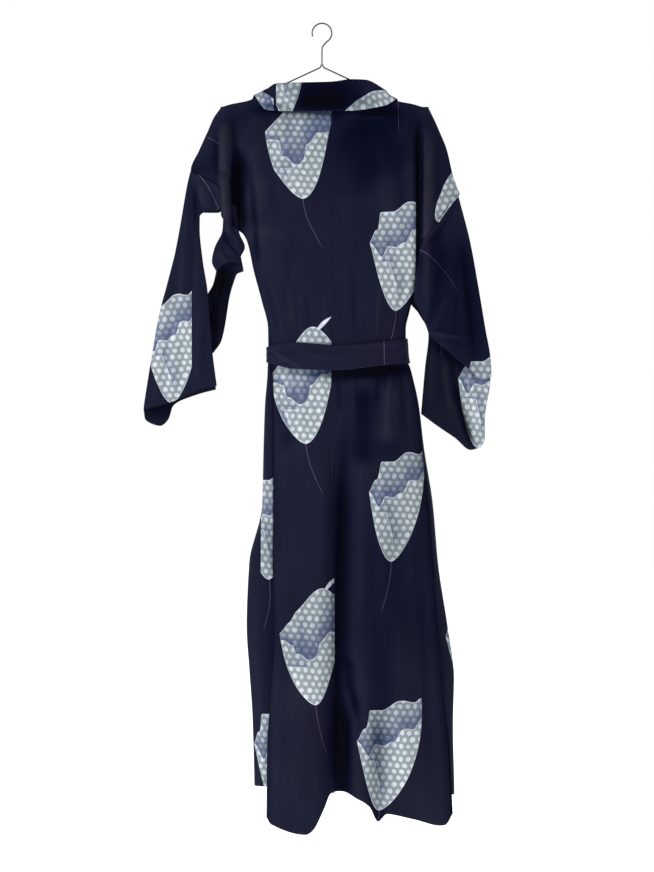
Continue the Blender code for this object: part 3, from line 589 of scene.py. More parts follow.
def makeLeafPrint():
    form = printed
    group, given, leaving = newGroup(
        "leafPrint",
        {"Leaf Place": (0, 0, 0), "Leaf Kind": (0, 0, 0), "Ground": form["ground"], "Dots": form["dots"],
         "Fold": form["fold"], "Edge": form["edge"]},
        {"Colour": "Color", "Leaf": "Float", "Stem": "Float"})
    u, v, _ = parts(group, given["Leaf Place"])
    kind, shown, _ = parts(group, given["Leaf Kind"])

    # outline: two sides that meet in a point below, and a top that is a dome or a row of soft waves
    share = (kind * 1.6).least(1.0)
    halfWidth = form["halfWidth"] - kind * form["narrowing"] + (kind - 1.0).most(0.0) * form["widening"]
    lean = v * (1.3 - v) * (kind * form["lean"][1] + form["lean"][0]) * 2.2
    s = (u - lean + (v * 5.0 + kind * 2.0).sine() * 0.006) / halfWidth
    t = s.size()
    low = (t ** 1.7) * (share * 0.12 + 0.42) + (t ** 7.0) * 0.12
    dome = s.bell(0.33, 0.95) * 0.54 + 0.60 + (s * 7.0 + 1.0).sine() * 0.012
    top = dome + (stepped(s, 0.66, form["waveSteps"]) - dome) * share
    inside = (v - low).softLeast(top - v, 0.03)
    edge = 1.0 - inside.rise(0.004, 0.012)

    # a slender bud stands at the top of a domed leaf
    budX, budY = u - form["budPlace"][0], v - form["budPlace"][1]
    along = (budX + budY) * 0.707 / form["budLength"]
    beside = ((budX - budY) * 0.707 + (along * 3.1).sine() * 0.008).size()
    girth = (along.most(0.0).least(1.0) * 3.1416).sine() * 0.017 + 0.002
    bud = (girth - beside).rise(-0.002, 0.002) * along.rise(-0.01, 0.01) * (1.0 - along.rise(0.98, 1.0))
    bud = bud * (1.0 - kind.rise(0.45, 0.5))
    leaf = inside.rise(-0.002, 0.0025).most(bud) * (1.0 - shown.rise(0.46, 0.54))

    # the fold: a deep pocket, or a long rolled edge, with its own shade above a waved line
    pocket, rolled = stepped(s, 0.575, form["pocketSteps"]), stepped(s, 0.665, form["rolledSteps"])
    line = pocket + (rolled - pocket) * share + (s * 13.0).sine() * 0.006
    above = v - line
    depth = (s.rise(-0.6, -0.3) * 0.30 + 0.05) * (1.0 - share) + share * 0.20
    shade = ((above.most(0.0) / depth) ** 1.6).fade() * above.rise(-0.003, 0.003)
    rim = (above.size() / 0.009).fade() * (1.0 - above.rise(-0.002, 0.002))

    # a second small fold below it: a short ledge, and a crease that runs down towards the tip
    ledge = v - (share * 0.175 + 0.30)
    creaseLeft = u * -1.0 - 0.165 + (0.29 - v) * 0.32
    creaseRight = u + 0.036 - (0.477 - v) * 0.18 + (v * 17.0).sine() * 0.006
    hollow = (creaseLeft + (creaseRight - creaseLeft) * share).most(ledge)
    nearLedge = (1.0 - s.rise(-0.22, -0.08)) * (1.0 - share) + s.rise(-0.72, -0.56) * share
    within = v.rise(0.11, 0.25) * (1.0 - above.rise(-0.014, -0.002)) * nearLedge
    under = (hollow.most(0.0) / 0.06).fade() * hollow.rise(-0.003, 0.003) * within
    ledgeRim = (hollow.size() / 0.008).fade() * (1.0 - hollow.rise(-0.002, 0.002)) * within
    shade = shade.most(under * 0.8)

    # dots in staggered rows, not quite alike
    drift = noise(group, given["Leaf Place"], 5.0, 1.0)
    shifted = above.rise(-0.001, 0.001) * 0.35
    x = u * form["leafHeight"] / form["dotSpacing"] + drift * 0.7 + shifted
    y = v * form["leafHeight"] / form["dotSpacing"] / form["dotRow"] + drift * 0.6 + u * 0.9
    row = y.use("FLOOR")
    x = x + (row * 0.5).use("FRACT")
    column = x.use("FLOOR")
    chance = addNode(group, "ShaderNodeTexWhiteNoise", Vector=joined(group, column, row))
    dx = x.use("FRACT") - 0.5
    dy = (y.use("FRACT") - 0.5) * form["dotRow"]
    away = (dx * dx + dy * dy) ** 0.5
    radius = chance * 0.07 + (form["dotRadius"] - 0.035)
    dots = 1.0 - (away - radius).rise(-0.06, 0.05)
    dots = dots * (chance * 0.2 + 0.8) * (1.0 - shade * 0.92)

    wash = noise(group, given["Leaf Place"], 34.0, 4.0)
    ground = blend(group, given["Ground"], given["Fold"], shade.least(1.0) * 0.95 + (wash - 0.5) * 0.3)
    colour = blend(group, ground, given["Dots"], dots)
    colour = blend(group, colour, given["Edge"], (rim * 0.7).most(ledgeRim * 0.6).most(edge * 0.75))

    # the stem goes on from the tip in one long bend
    below = (0.0 - v).most(0.0)
    bend = (below ** 1.6) * (0.62 - kind * 0.95)
    stem = 1.0 - ((u - bend).size() / (form["stemWidth"] * (1.2 - below))).rise(0.7, 1.3)
    stemEnd = below.rise(form["stemLength"] * 0.8, form["stemLength"])
    stem = stem * (1.0 - v.rise(-0.004, 0.004)) * (1.0 - stemEnd)
    stem = stem * (shown.least(0.0) + 1.0)
    for name, value in (("Colour", colour), ("Leaf", leaf), ("Stem", stem)):
        plug(group, value, leaving.inputs[name])
    return group


def makeCrepeGrain():
    # fine uneven crinkle that runs down the cloth
    group, given, leaving = newGroup(
        "crepeGrain", {"Cloth Place": (0, 0, 0)}, {"Height": "Float", "Tone": "Float"})
    x, y, _ = parts(group, given["Cloth Place"])
    sizes = (1500.0, 330.0, 2.0), (620.0, 520.0, 2.0), (210.0, 5.0, 3.0), (14.0, 6.0, 2.0)
    fine, pebble, streak, cloud = [
        noise(group, joined(group, x * across, y * down), 1.0, detail) for across, down, detail in sizes]
    plug(group, fine * 0.6 + pebble * 0.4 + streak * 0.5, leaving.inputs["Height"])
    tone = (fine - 0.5) * 0.5 + (streak - 0.5) * 0.55 + (cloud - 0.5) * 0.35 + 1.0
    plug(group, tone, leaving.inputs["Tone"])
    return group


def makeSewnEdge():
    # a pressed and stitched hem along the foot, and the slight pucker of the sewn sides
    group, given, leaving = newGroup(
        "sewnEdge", {"Edge Place": (0, 0, 0), "Cloth Place": (0, 0, 0), "Hem Width": 0.012, "Pucker": 1.0},
        {"Height": "Float", "Stitch": "Float"})
    fromSide, fromHem, _ = parts(group, given["Edge Place"])
    x, y, _ = parts(group, given["Cloth Place"])
    ripple = noise(group, joined(group, x * 60.0, y * 130.0), 1.0, 1.0)
    pucker = (ripple - 0.5) * (fromSide / 0.007).fade() * given["Pucker"]
    fold = fromHem.rise(0.0, 0.002) * (1.0 - (fromHem - given["Hem Width"]).rise(-0.001, 0.0015))
    dash = (x * 1600.0).sine().rise(-0.2, 0.2)
    stitch = (1.0 - ((fromHem - given["Hem Width"] + 0.0015).size() / 0.0006).rise(0.5, 1.2)) * dash
    seam = (fromSide / 0.0012).fade()
    plug(group, pucker * 2.2 + fold * 0.9 - stitch * 0.8 - seam * 1.5, leaving.inputs["Height"])
    plug(group, stitch, leaving.inputs["Stitch"])
    return group


leafPrint, crepeGrain, sewnEdge = makeLeafPrint(), makeCrepeGrain(), makeSewnEdge()

crepeLook = {
    "navy": screenColour(21.6, 23.7, 44),
    "sashNavy": screenColour(26.6, 26.6, 47),
    "inside": screenColour(19, 21, 38),
    "thread": screenColour(38, 40, 64),
    "threadShare": 0.7,
    "stemShare": 0.85,
    "roughness": 0.68,
    "roughnessSpread": 0.18,
    "grainMiddle": 0.75,
    "foldDepth": 0.89,
    "foldBlue": 0.6,
    "grain": (0.55, 0.00022),
    "edge": (0.8, 0.0006),
    "surface": {
        "Specular IOR Level": 0.05,
        "Sheen Weight": 0.05,
        "Sheen Roughness": 0.45,
        "Sheen Tint": screenColour(120, 130, 190),
    },
}


def uvPlace(tree, name):
    return addNode(tree, "ShaderNodeUVMap", settings={"uv_map": name})


def bump(tree, sizes, height, under=None):
    # relief of a strength and a depth, over the relief under it
    return addNode(tree, "ShaderNodeBump", Strength=sizes[0], Distance=sizes[1], Height=height, Normal=under)


def makeCrepe(name, colour, crosswise=False):
    look = crepeLook
    material, tree, shader = newMaterial(name)
    cloth = along = uvPlace(tree, "clothUV")
    if crosswise:
        x, y, _ = parts(tree, cloth)
        along = joined(tree, y, x)
    grain = useGroup(tree, crepeGrain, Cloth_Place=along)
    edge = useGroup(tree, sewnEdge, Edge_Place=uvPlace(tree, "edgeUV"), Cloth_Place=cloth)
    leaf = useGroup(tree, leafPrint, Leaf_Place=uvPlace(tree, "leafUV"), Leaf_Kind=uvPlace(tree, "leafKind"))
    base = blend(tree, colour, look["thread"], edge["Stitch"] * look["threadShare"])
    base = blend(tree, base, printed["stem"], leaf["Stem"] * look["stemShare"])
    base = blend(tree, base, leaf["Colour"], leaf["Leaf"])
    # painted shade: the base colour turns darker and bluer by foldShade, deep in folds, under the sash and on
    # the stretches in the shades tables
    shade = addNode(tree, "ShaderNodeAttribute", output=2, settings={"attribute_name": "foldShade"})
    value = grain["Tone"] * (1.0 - shade * look["foldDepth"])
    toned = addNode(tree, "ShaderNodeHueSaturation", Color=base, Value=value,
                    Saturation=shade * look["foldBlue"] + 1.0)
    plug(tree, toned, shader.inputs["Base Color"])
    relief = bump(tree, look["edge"], edge["Height"], bump(tree, look["grain"], grain["Height"]))
    plug(tree, relief, shader.inputs["Normal"])
    rough = (grain["Height"] - look["grainMiddle"]) * look["roughnessSpread"] + look["roughness"]
    plug(tree, rough, shader.inputs["Roughness"])
    for socket, value in look["surface"].items():
        shader.inputs[socket].default_value = value
    return material


clothMaterials = {
    "crepe": makeCrepe("navyCrepe", crepeLook["navy"]),
    "sash": makeCrepe("sashCrepe", crepeLook["sashNavy"], crosswise=True),
}
crepeInside = makeCrepe("navyCrepeInside", crepeLook["inside"])
print("cloth materials made")

wireLook = {
    "coat": screenColour(28, 40, 34),
    "worn": screenColour(74, 82, 74),
    "wear": 0.8,
    "roughness": 0.38,
    "wornRoughness": 0.2,
    "drawnRoughness": 0.12,
    "drawn": (0.3, 0.0001),
    # size and detail of the rubbed places and of the drawn grain, and where rubbing starts and is full
    "rubbedGrain": (38.0, 4.0),
    "drawnGrain": (900.0, 2.0),
    "rubbedFrom": (0.6, 0.72),
    "nodes": ["hanger_arm_left", "hanger_arm_right", "hanger_bar", "hanger_hook"],
}


def makeWire():
    # thin dark coat on drawn wire, with a few rubbed places
    look = wireLook
    material, tree, shader = newMaterial("coatedWire")
    place = addNode(tree, "ShaderNodeTexCoord", output=3)
    drawn = noise(tree, place, *look["drawnGrain"])
    wear = noise(tree, place, *look["rubbedGrain"]).rise(*look["rubbedFrom"]) * look["wear"]
    plug(tree, blend(tree, look["coat"], look["worn"], wear), shader.inputs["Base Color"])
    rough = wear * look["wornRoughness"] + drawn * look["drawnRoughness"] + look["roughness"]
    plug(tree, rough, shader.inputs["Roughness"])
    plug(tree, bump(tree, look["drawn"], drawn), shader.inputs["Normal"])
    for node in look["nodes"]:
        bpy.data.objects[node].material_slots[0].material = material


makeWire()
print("wire coated")


# One cloth piece: a thin sheet through a grid of points


def addObject(name, data):
    thing = bpy.data.objects.new(name, data)
    bpy.context.scene.collection.objects.link(thing)
    return thing


def makeCloth(node, points, outward, slot="crepe", wall=clothForm["wall"],
              leaves=(), strips=(), grain="first", shades=()):
    # the node back_left gives backLeftCloth; outward is +1 or -1, the y side that the face looks to
    first, *others = node.split("_")
    name = first + "".join(word.title() for word in others) + "Cloth"
    index = np.arange(points[:, :, 0].size).reshape(points.shape[:2])
    quads = faceCorners(index)
    turned = gridNormals(points)[:, :, 1].sum() * outward < 0
    if turned:
        quads = quads[:, ::-1]
    mesh = bpy.data.meshes.new(name)
    mesh.from_pydata((points.reshape(-1, 3) * mm).tolist(), [], quads.tolist())
    across, down = measureCloth(points)
    fromSide = np.minimum(across, across[:, -1:] - across)
    cloth = np.stack([across, -down], axis=2).reshape(-1, 2) * mm
    edges = np.stack([fromSide, down[-1:] - down], axis=2).reshape(-1, 2) * mm
    places, kinds = leafPlaces(points, leaves, strips, grain, outward)
    if turned:
        places, kinds = places[:, ::-1], kinds[:, ::-1]
    corners = quads.ravel()
    layers = {"clothUV": cloth[corners], "edgeUV": edges[corners], "leafUV": places, "leafKind": kinds}
    for layer, values in layers.items():
        flat = np.ascontiguousarray(values, np.float32).ravel()
        mesh.uv_layers.new(name=layer).data.foreach_set("uv", flat)
    shade = mesh.attributes.new("foldShade", "FLOAT", "POINT")
    shade.data.foreach_set("value", foldShade(points, outward, shades).astype(np.float32).ravel())
    mesh.shade_smooth()
    mesh.materials.append(clothMaterials[slot])
    mesh.materials.append(crepeInside)
    piece = addObject(name, mesh)
    shell = piece.modifiers.new("clothWall", "SOLIDIFY")
    shell.thickness = wall * mm
    shell.offset = 0
    shell.use_even_offset = False
    shell.material_offset = 1
    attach(piece, "root")
    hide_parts(node)


# Back panels

backPanels = {
    "rowStep": 5.5,
    "columns": 52,
    "wrapAngles": [88, 70, 52, 34, 16, 0],
    "neckLift": 3,
    "seamGap": 0.5,
    "rumple": (26, 0.9),
    "seeds": {"left": 11, "right": 12},
    # the seam allowances: how far each step lies across and behind, and from which height to which
    "allowances": {"left": ([(1.0, 1.1), (5.6, 2.0)],), "right": ([(1.0, 0.95), (6.0, 0.95)], -455, -350)},
    "allowanceFade": 6,
    "allowanceGap": 0.3,
    # the side and the height down to which the fold of a dropped shoulder runs round to the front, and how
    # far forward its steps lie, as shares of the way
    "topFolds": {"left": (-1, -310), "right": (1, -354)},
    "foldSteps": [0.15, 0.55, 1],
    "foldOut": 0.6,
    "foldGap": 0.1,
    "foldFade": 10,
    "frontReach": 1.4,
    # x z of both ends, half width, height outward, a trough below 0
    "creases": [
        (47, -800, 24, -1570, 8, -3.5), (31, -1090, 14, -1600, 12, 2.5), (143, -700, 132, -850, 5, 4.5),
        (120, -706, 112, -800, 5, -3), (60, -720, 66, -830, 7, 2), (34, -724, 38, -810, 6, -3),
        (0, -726, -6, -830, 7, 2.5), (-30, -724, -36, -860, 7, -3), (-62, -722, -66, -840, 6, 3.5),
        (-88, -716, -86, -850, 6, -3.5), (165, -706, 172, -850, 7, -3), (48, -1335, 80, -1455, 7, -4.5),
        (58, -1330, 92, -1450, 7, 3), (46, -1400, 44, -1640, 16, -7), (70, -1440, 76, -1640, 9, 4),
        (-40, -1300, -64, -1640, 26, 5), (-92, -1220, -88, -1640, 12, 4), (150, -1150, 168, -1640, 22, 4),
        (196, -1000, 222, -1620, 13, -3.5), (118, -960, 124, -1300, 15, 3), (-56, -640, -70, -540, 7, 2.4),
        (-92, -650, -118, -520, 7, -3), (-26, -650, -30, -560, 8, -2), (10, -650, 6, -560, 7, 2),
        (70, -652, 66, -500, 8, -2.4), (112, -650, 124, -520, 7, 2.6), (150, -640, 176, -500, 7, -3),
        (168, -636, 196, -520, 6, 3), (-192, -168, -140, -196, 5, -2.2), (-176, -172, -120, -205, 5, 1.8),
        (-150, -170, -96, -190, 4, -1.6), (-188, -182, -172, -290, 6, -3), (196, -172, 150, -200, 5, -2),
        (184, -178, 160, -250, 6, 1.8), (200, -180, 198, -600, 3.2, -4), (-183, -230, -176, -440, 4.5, -4),
        (-204, -200, -206, -420, 5, 3.5), (-148, -285, -130, -500, 5, -3.5), (-140, -285, -121, -520, 6, 3),
        (-202, -205, -196, -400, 5, 4), (-188, -290, -173, -450, 6, -5), (-220, -225, -219, -345, 4, -3),
        (209, -235, 206, -400, 3, -4), (222, -250, 212, -335, 3, -3), (216, -200, 212, -420, 3.5, 3.5),
        (233, -240, 212, -360, 3, 2.5), (160, -260, 176, -470, 12, -2.4), (120, -230, 140, -420, 14, 2),
        (-110, -240, -96, -400, 13, -2), (60, -260, 52, -480, 18, 1.6), (-60, -420, -76, -600, 14, -1.6),
    ],
    # the same for painted shade on cloth that lies in the shade of a fold or of the sash, and on broad
    # stretches where less light falls, 0 to 1, and below 0 paler
    "shades": [
        (-10, -730, 190, -718, 13, 1.4), (-110, -718, 20, -732, 8, 0.7), (-150, -176, 80, -192, 11, 0.9),
        (60, -192, 170, -180, 10, 0.6), (30, -196, 150, -194, 4, -0.5), (60, -190, 150, -330, 95, 0.6),
        (56, -1000, 66, -1350, 34, 0.1), (46, -1380, 46, -1660, 28, 0.45),
        (-176, -280, -168, -470, 12, 0.6), (205, -200, 202, -560, 6, 0.8), (86, -730, 80, -930, 50, 0.3),
        (-219, -225, -219, -345, 5, 0.5), (215, -500, 175, -640, 12, 0.5),
        (262, -1000, 272, -1640, 16, 0.4), (110, -860, 130, -1660, 90, 0.32),
        (-116, -640, -104, -760, 10, 0.5),
    ],
    # x z of a place on the cloth, u v of that place on the leaf, lean in degrees, kind from 0 (domed, with a
    # bud) to 1 (waved), 1 for the stem alone or -1 for the leaf alone, and the x limits of the piece
    "leftLeaves": [
        (-38, -368, 0, 0, 0, 0, 0), (-33.3, -874, 0, 0, 0, 0.1, 0), (-13, -1406, 0, 0, 1, 0.2, 0),
        (-239, -235, 0, 0, -68, 1.3, 1, -246, -219),
    ],
    "rightLeaves": [
        (154, -596, 0, 0, -3, 1.2, 0, 0, 194), (141, -1114, 0, 0, 0, 1, 0), (119, -1621, 0, 0, -1, 1.4, 0),
        (236, -410, 0, 0, 50, 0.4, -1, 201, 400), (158, -177, 0, -0.25, 4, 0.6, 1),
    ],
}


def backRows(xOfLevel):
    # rows over the wire first, then down to the hem
    rows = []
    share = np.linspace(0, 1, backPanels["columns"])
    x = xOfLevel(body["levels"][0], share)
    reach = topDepth(x)
    nearWire = np.minimum(reach, shoulder["wrapRadius"])
    for angle in np.radians(backPanels["wrapAngles"]):
        y = mix(reach, nearWire * math.cos(angle), wrapShare(x))
        insideNeck = backPanels["neckLift"] * (angle / math.radians(90) - 1)
        lift = mix(insideNeck, nearWire * math.sin(angle), wrapShare(x, shoulder["neckDrop"]))
        rows.append(np.stack([x, -y, topEdge(x) + lift], axis=1))
    for level in panelLevels(backPanels["rowStep"]):
        x = xOfLevel(level, share)
        z = levelHeight(level, x)
        y = wallDepth(body["backFolds"], x, z, topEdge(x))
        rows.append(np.stack([x, -y, hemHeight("back", x, z)], axis=1))
    return np.array(rows)


def foldUnder(points, steps, low=-2000, high=0):
    # the seam allowance beside the last column, pressed flat behind the next panel, between two heights
    edge = points[:, -1:]
    height = -edge[:, :, 2]
    fade = backPanels["allowanceFade"]
    share = smoothStep(-high - fade, -high + fade, height) * (1 - smoothStep(-low - 2 * fade, -low, height))
    apart = np.array([backPanels["allowanceGap"], 0, 0])
    turned = [edge + apart * (i + 1) + share[:, :, None] * np.array([across, depth, 0.0])
              for i, (across, depth) in enumerate(steps)]
    return np.concatenate([points, *turned], axis=1)


def foldForward(points, side, low, front=None):
    # the fold of a dropped shoulder or a sleeve, from the back's outer edge to the front's, down to a height
    edge = points[:, -1:] if side > 0 else points[:, :1]
    share = (1 - smoothStep(-low - backPanels["foldFade"], -low, -edge[:, :, 2]))[:, :, None]
    behind = edge[:, :, 1:2]
    gap = (backPanels["frontReach"] * np.abs(behind) if front is None else front) - behind
    outward = np.array([side, 0, 0])
    turned = []
    for i, forward in enumerate(backPanels["foldSteps"]):
        moved = backPanels["foldOut"] * outward + gap * np.array([0, forward, 0])
        turned.append(edge + backPanels["foldGap"] * (i + 1) * outward + share * moved)
    return np.concatenate([points, *turned] if side > 0 else [*reversed(turned), points], axis=1)


def makeBack():
    middle, half = body["centreBack"], backPanels["seamGap"] / 2
    leftAcross = lambda z, u: mix(section("seamLeft", z), middle - half, u)
    rightAcross = lambda z, u: mix(middle + half, section("seamRight", z), u)
    for side, across, grain in (("left", leftAcross, "last"), ("right", rightAcross, "first")):
        points = addRelief(backRows(across), backPanels["creases"], backPanels["rumple"],
                           backPanels["seeds"][side], -1)
        points = foldUnder(points, *backPanels["allowances"][side])
        points = foldForward(points, *backPanels["topFolds"][side])
        makeCloth("back_" + side, points, -1, leaves=backPanels[side + "Leaves"],
                  grain=grain, shades=backPanels["shades"])


makeBack()
print("back panels made")


# Front panels and their overlap

frontPanels = {
    "columns": 56,
    "rowStep": 6.5,
    "rumple": (30, 0.7),
    "seed": 20,
    "okumiColumns": 26,
    "okumiSeed": 30,
    "overlapStep": 6.3,
    "overlapSides": (-0.92, -0.64),
    "overlapHeights": (-230, -330),
    "seamGap": 0.5,
    "slitTop": -1044,
    "slitFull": -1250,
    "slitTuck": 8,
    "slitInset": 7,
    "slitTurn": 0.4,
    "okumiTop": -438,
    "okumiHalfSpan": 45,
    "middleZ": [-173, -449, -690, -1200, -1640],
    "middleX": [8, 18, 30, 50, 67],
    "okumiZ": [-438, -520, -600, -690, -760, -812, -1640],
    "okumiX": [-36, -10, 8, 24, 48, 72, 98],
    "creases": [
        (-150, -230, -110, -420, 9, -3), (-130, -250, -90, -520, 11, 2.6), (-176, -220, -150, -420, 7, 3),
        (168, -230, 130, -420, 9, -3), (140, -250, 104, -520, 11, 2.6), (190, -220, 172, -430, 7, 3),
        (-70, -480, -50, -650, 8, -3), (-40, -520, -20, -655, 7, 2.6), (100, -480, 84, -650, 8, -3),
        (140, -470, 120, -650, 7, 3), (60, -560, 54, -655, 7, 2.4), (-95, -560, -82, -650, 6, 2.4),
        (-86, -730, -92, -960, 8, -4), (-60, -730, -70, -900, 7, 3.2), (-34, -730, -40, -860, 7, -3),
        (-6, -730, -12, -840, 6, 2.6), (36, -730, 40, -900, 7, -3), (70, -730, 80, -940, 8, 3.2),
        (104, -730, 120, -900, 7, -3.4), (140, -724, 158, -920, 8, 3), (164, -722, 190, -960, 7, -3),
        (-80, -1000, -104, -1600, 16, 4), (-20, -1050, -30, -1600, 14, -4), (70, -1000, 66, -1620, 16, 4),
        (150, -1050, 176, -1620, 14, -4), (204, -1050, 232, -1600, 12, 4),
    ],
    "leftLeaves": [
        (-90, -470, 0, 0, 0, 0.2, 0), (-10, -900, 0, 0, 0, 0.8, 0), (-104, -1270, 0, 0, 0, 0.9, 0),
    ],
    "rightLeaves": [
        (120, -560, 0, 0, 0, 0.1, 0), (150, -1060, 0, 0, 0, 0.9, 0), (196, -1430, 0, 0, 0, 0.2, 0),
        (210, -330, 0, 0, 8, 0.7, 0),
    ],
    # the same for cloth that the picture shows behind the back panels' edges
    "leftStrips": [(-112, -1154, -0.02, 0, 0, 1, 0, -126, 0), (-139, -1495, -0.21, 0.66, -6, 1, 0)],
    "rightStrips": [(260, -1272, -0.2, 0.68, 0, 0.9, -1)],
    "okumiLeaves": [(10, -1010, 0, 0, 0, 0.9, 0), (36, -1540, 0, 0, 0, 0.1, 0)],
}

collar = {
    "rows": 16,
    "columns": 300,
    "frontRows": 120,
    "frontColumns": 12,
    "halfWidth": 24,
    "lap": 6,
    "step": 3.0,
    "end": -812,
    "slope": 8,
    "shoulderX": -160,
    "wall": 2.2,
    "lineZ": [-160, -200, -260, -340, -430, -520, -600, -690, -812],
    "lineX": [-140, -131, -108, -68, -24, 8, 26, 40, 50],
    # seamX seamY seamZ edgeX edgeY edgeZ at each station over the shoulders
    "stations": [
        (-148, 10, -172, -101, 14, -161), (-146, 6.5, -159, -109, 9, -149), (-141, 0, -149, -117, 0, -137),
        (-135, -9, -157, -112, -7.5, -136), (-114, -13, -181, -95, -11, -126),
        (-60, -15, -184, -50, -11, -124), (19, -16.5, -184, 19, -10, -122), (62, -16, -183, 60, -10, -117),
        (105, -14, -177, 90, -10, -118), (134, -9.5, -170, 122, -9, -133), (149, -8.5, -161, 134, -7, -142),
        (155, 0, -155.5, 131, 0, -145), (160, 6.5, -165, 126, 9, -155), (162, 10, -176, 118, 14, -166),
    ],
    "frontTops": {-1: -178, 1: -182},
    "leaves": [
        (-74, -178, 0, 0.06, -14, 1, -1, -95, 0), (-124, -141, 0.309, 1.0, -50, 0.7, -1, -200, -100),
        (83, -148, -0.17, 0.93, 20, 0.1, -1, 0, 200),
    ],
    # painted shade: the collar's middle darker where it tilts away from the light, and a shadow along its
    # seam, in the same form as the back's
    "shades": [
        (-70, -150, 90, -152, 40, 0.8), (-60, -170, 60, -172, 14, 0.5), (60, -160, 120, -165, 14, 0.35),
        (-130, -172, -60, -178, 7, 0.6),
    ],
    "frontLeaves": [(50, -640, 0, 0.5, 20, 0.8, 0)],
}

# the two fronts: word, side, and 1 for the one that lies over the other
frontSides = ("left", -1, 1), ("right", 1, 0)


def sharesFrom(side, count):
    # the columns' places, which run the other way on the right
    share = np.linspace(0, 1, count)
    return 1 - share if side > 0 else share


def frontMiddle(z):
    return curveThrough(frontPanels["middleZ"], frontPanels["middleX"], z)


def frontDepth(x, z, top, layer):
    # the front that lies over the other stands further out where they overlap
    start, full = frontPanels["overlapHeights"]
    overlap = smoothStep(*frontPanels["overlapSides"], spanShare(x, z)) * smoothStep(-start, -full, -z)
    offset = frontPanels["overlapStep"] * overlap if layer else 0
    return wallDepth(body["frontFolds"], x, z, top) + offset


def turnOf(x, z):
    # how far round the section a place lies, from its right end
    return np.arccos(np.clip(spanShare(x, z), -1, 1))


def innerEdge(z, side):
    line = curveThrough(collar["lineZ"], collar["lineX"], z) - collar["halfWidth"] + collar["lap"]
    return frontMiddle(z) - side * np.minimum(line, -frontPanels["okumiHalfSpan"])


def frontStart(z, side):
    # the turn round the section where a front starts, and how far it lies inside the back there
    edge = section("left" if side < 0 else "right", z)
    seam = section("seamLeft" if side < 0 else "seamRight", z)
    opened = smoothStep(-frontPanels["slitTop"], -frontPanels["slitFull"], -z)
    tuck = frontPanels["slitTuck"] * max(0.0, 2 * opened - 1)
    if abs(seam - edge) < frontPanels["seamGap"]:
        turn = turnOf(edge, z)
        return (math.pi - turn if side < 0 else -turn), 0.0
    turn = turnOf(seam + side * (frontPanels["seamGap"] - tuck), z)
    return (turn - math.pi if side < 0 else turn), frontPanels["slitInset"] * opened


def frontAcross(level, side):
    # the columns of a level: their turns, their x and how far the start lies inside the back
    start, inset = frontStart(level, side)
    innerTurn = turnOf(innerEdge(level, side), level)
    end = math.pi - innerTurn if side < 0 else -innerTurn
    turn = mix(start, end, sharesFrom(side, frontPanels["columns"]))
    return turn, spanPlace(side * np.cos(turn), level), inset


def frontRows(side, layer):
    # rows over the wire first, then down to the hem
    _, x, _ = frontAcross(body["levels"][0], side)
    reach = np.minimum(topDepth(x), shoulder["wrapRadius"])
    rows = [np.stack([x, reach * math.cos(angle), topEdge(x) + reach * math.sin(angle)], axis=1)
            for angle in np.radians(backPanels["wrapAngles"])]
    for level in panelLevels(frontPanels["rowStep"]):
        turn, x, inset = frontAcross(level, side)
        z = levelHeight(level, x)
        inset = inset * smoothStep(0, frontPanels["slitTurn"], np.abs(turn))
        onBack = 2 * body["layerGap"] + inset - wallDepth(body["backFolds"], x, z, topEdge(x))
        y = np.where(side * turn > 0, onBack, frontDepth(x, z, topEdge(x), layer))
        rows.append(np.stack([x, y, hemHeight("front", x, z)], axis=1))
    return np.array(rows)


def makeFronts():
    panels = frontPanels
    for word, side, layer in frontSides:
        points = addRelief(frontRows(side, layer), panels["creases"], panels["rumple"],
                           panels["seed"] + layer, 1)
        makeCloth("front_" + word, points, 1, leaves=panels[word + "Leaves"],
                  strips=panels[word + "Strips"], grain="front")
    for word, side, layer in frontSides:
        z = np.arange(panels["okumiTop"], body["hemLevel"] - 1, -panels["rowStep"])[:, None]
        free = frontMiddle(z) - side * curveThrough(panels["okumiZ"], panels["okumiX"], z)
        seam = frontMiddle(z) + side * (panels["okumiHalfSpan"] - panels["seamGap"])
        x = mix(seam, free, sharesFrom(side, panels["okumiColumns"]))
        z = np.broadcast_to(z, x.shape)
        points = np.stack([x, frontDepth(x, z, 0, layer), hemHeight("front", x, z)], axis=2)
        points = addRelief(points, panels["creases"], panels["rumple"], panels["okumiSeed"] + layer, 1)
        makeCloth("okumi_" + word, points, 1, leaves=panels["okumiLeaves"],
                  grain="front")


makeFronts()
print("front panels made")


# Collar

def makeCollar():
    stations = np.array(collar["stations"], float)
    order = np.arange(len(stations))
    at = np.linspace(0, len(stations) - 1, collar["columns"])
    lines = np.stack([curveThrough(order, line, at) for line in stations.T], axis=1)
    share = np.linspace(0, 1, collar["rows"])[:, None, None]
    points = mix(lines[None, :, 3:], lines[None, :, :3], share)
    makeCloth("collar_back", points, -1, wall=collar["wall"],
              leaves=collar["leaves"], grain="band", shades=collar["shades"])
    for word, side, layer in frontSides:
        share = sharesFrom(side, collar["frontColumns"])
        z = np.linspace(collar["frontTops"][side], collar["end"], collar["frontRows"])[:, None]
        line = curveThrough(collar["lineZ"], collar["lineX"], z)
        x = frontMiddle(z) - side * (line + mix(-collar["halfWidth"], collar["halfWidth"], share))
        z = z + mix(-collar["slope"], collar["slope"], share)
        y = frontDepth(x, z, topEdge(collar["shoulderX"]), layer) + collar["step"]
        makeCloth("collar_" + word, np.stack([x, y, z], axis=2), 1,
                  wall=collar["wall"], leaves=collar["frontLeaves"], grain="front")


makeCollar()
print("collar made")


# Sleeves

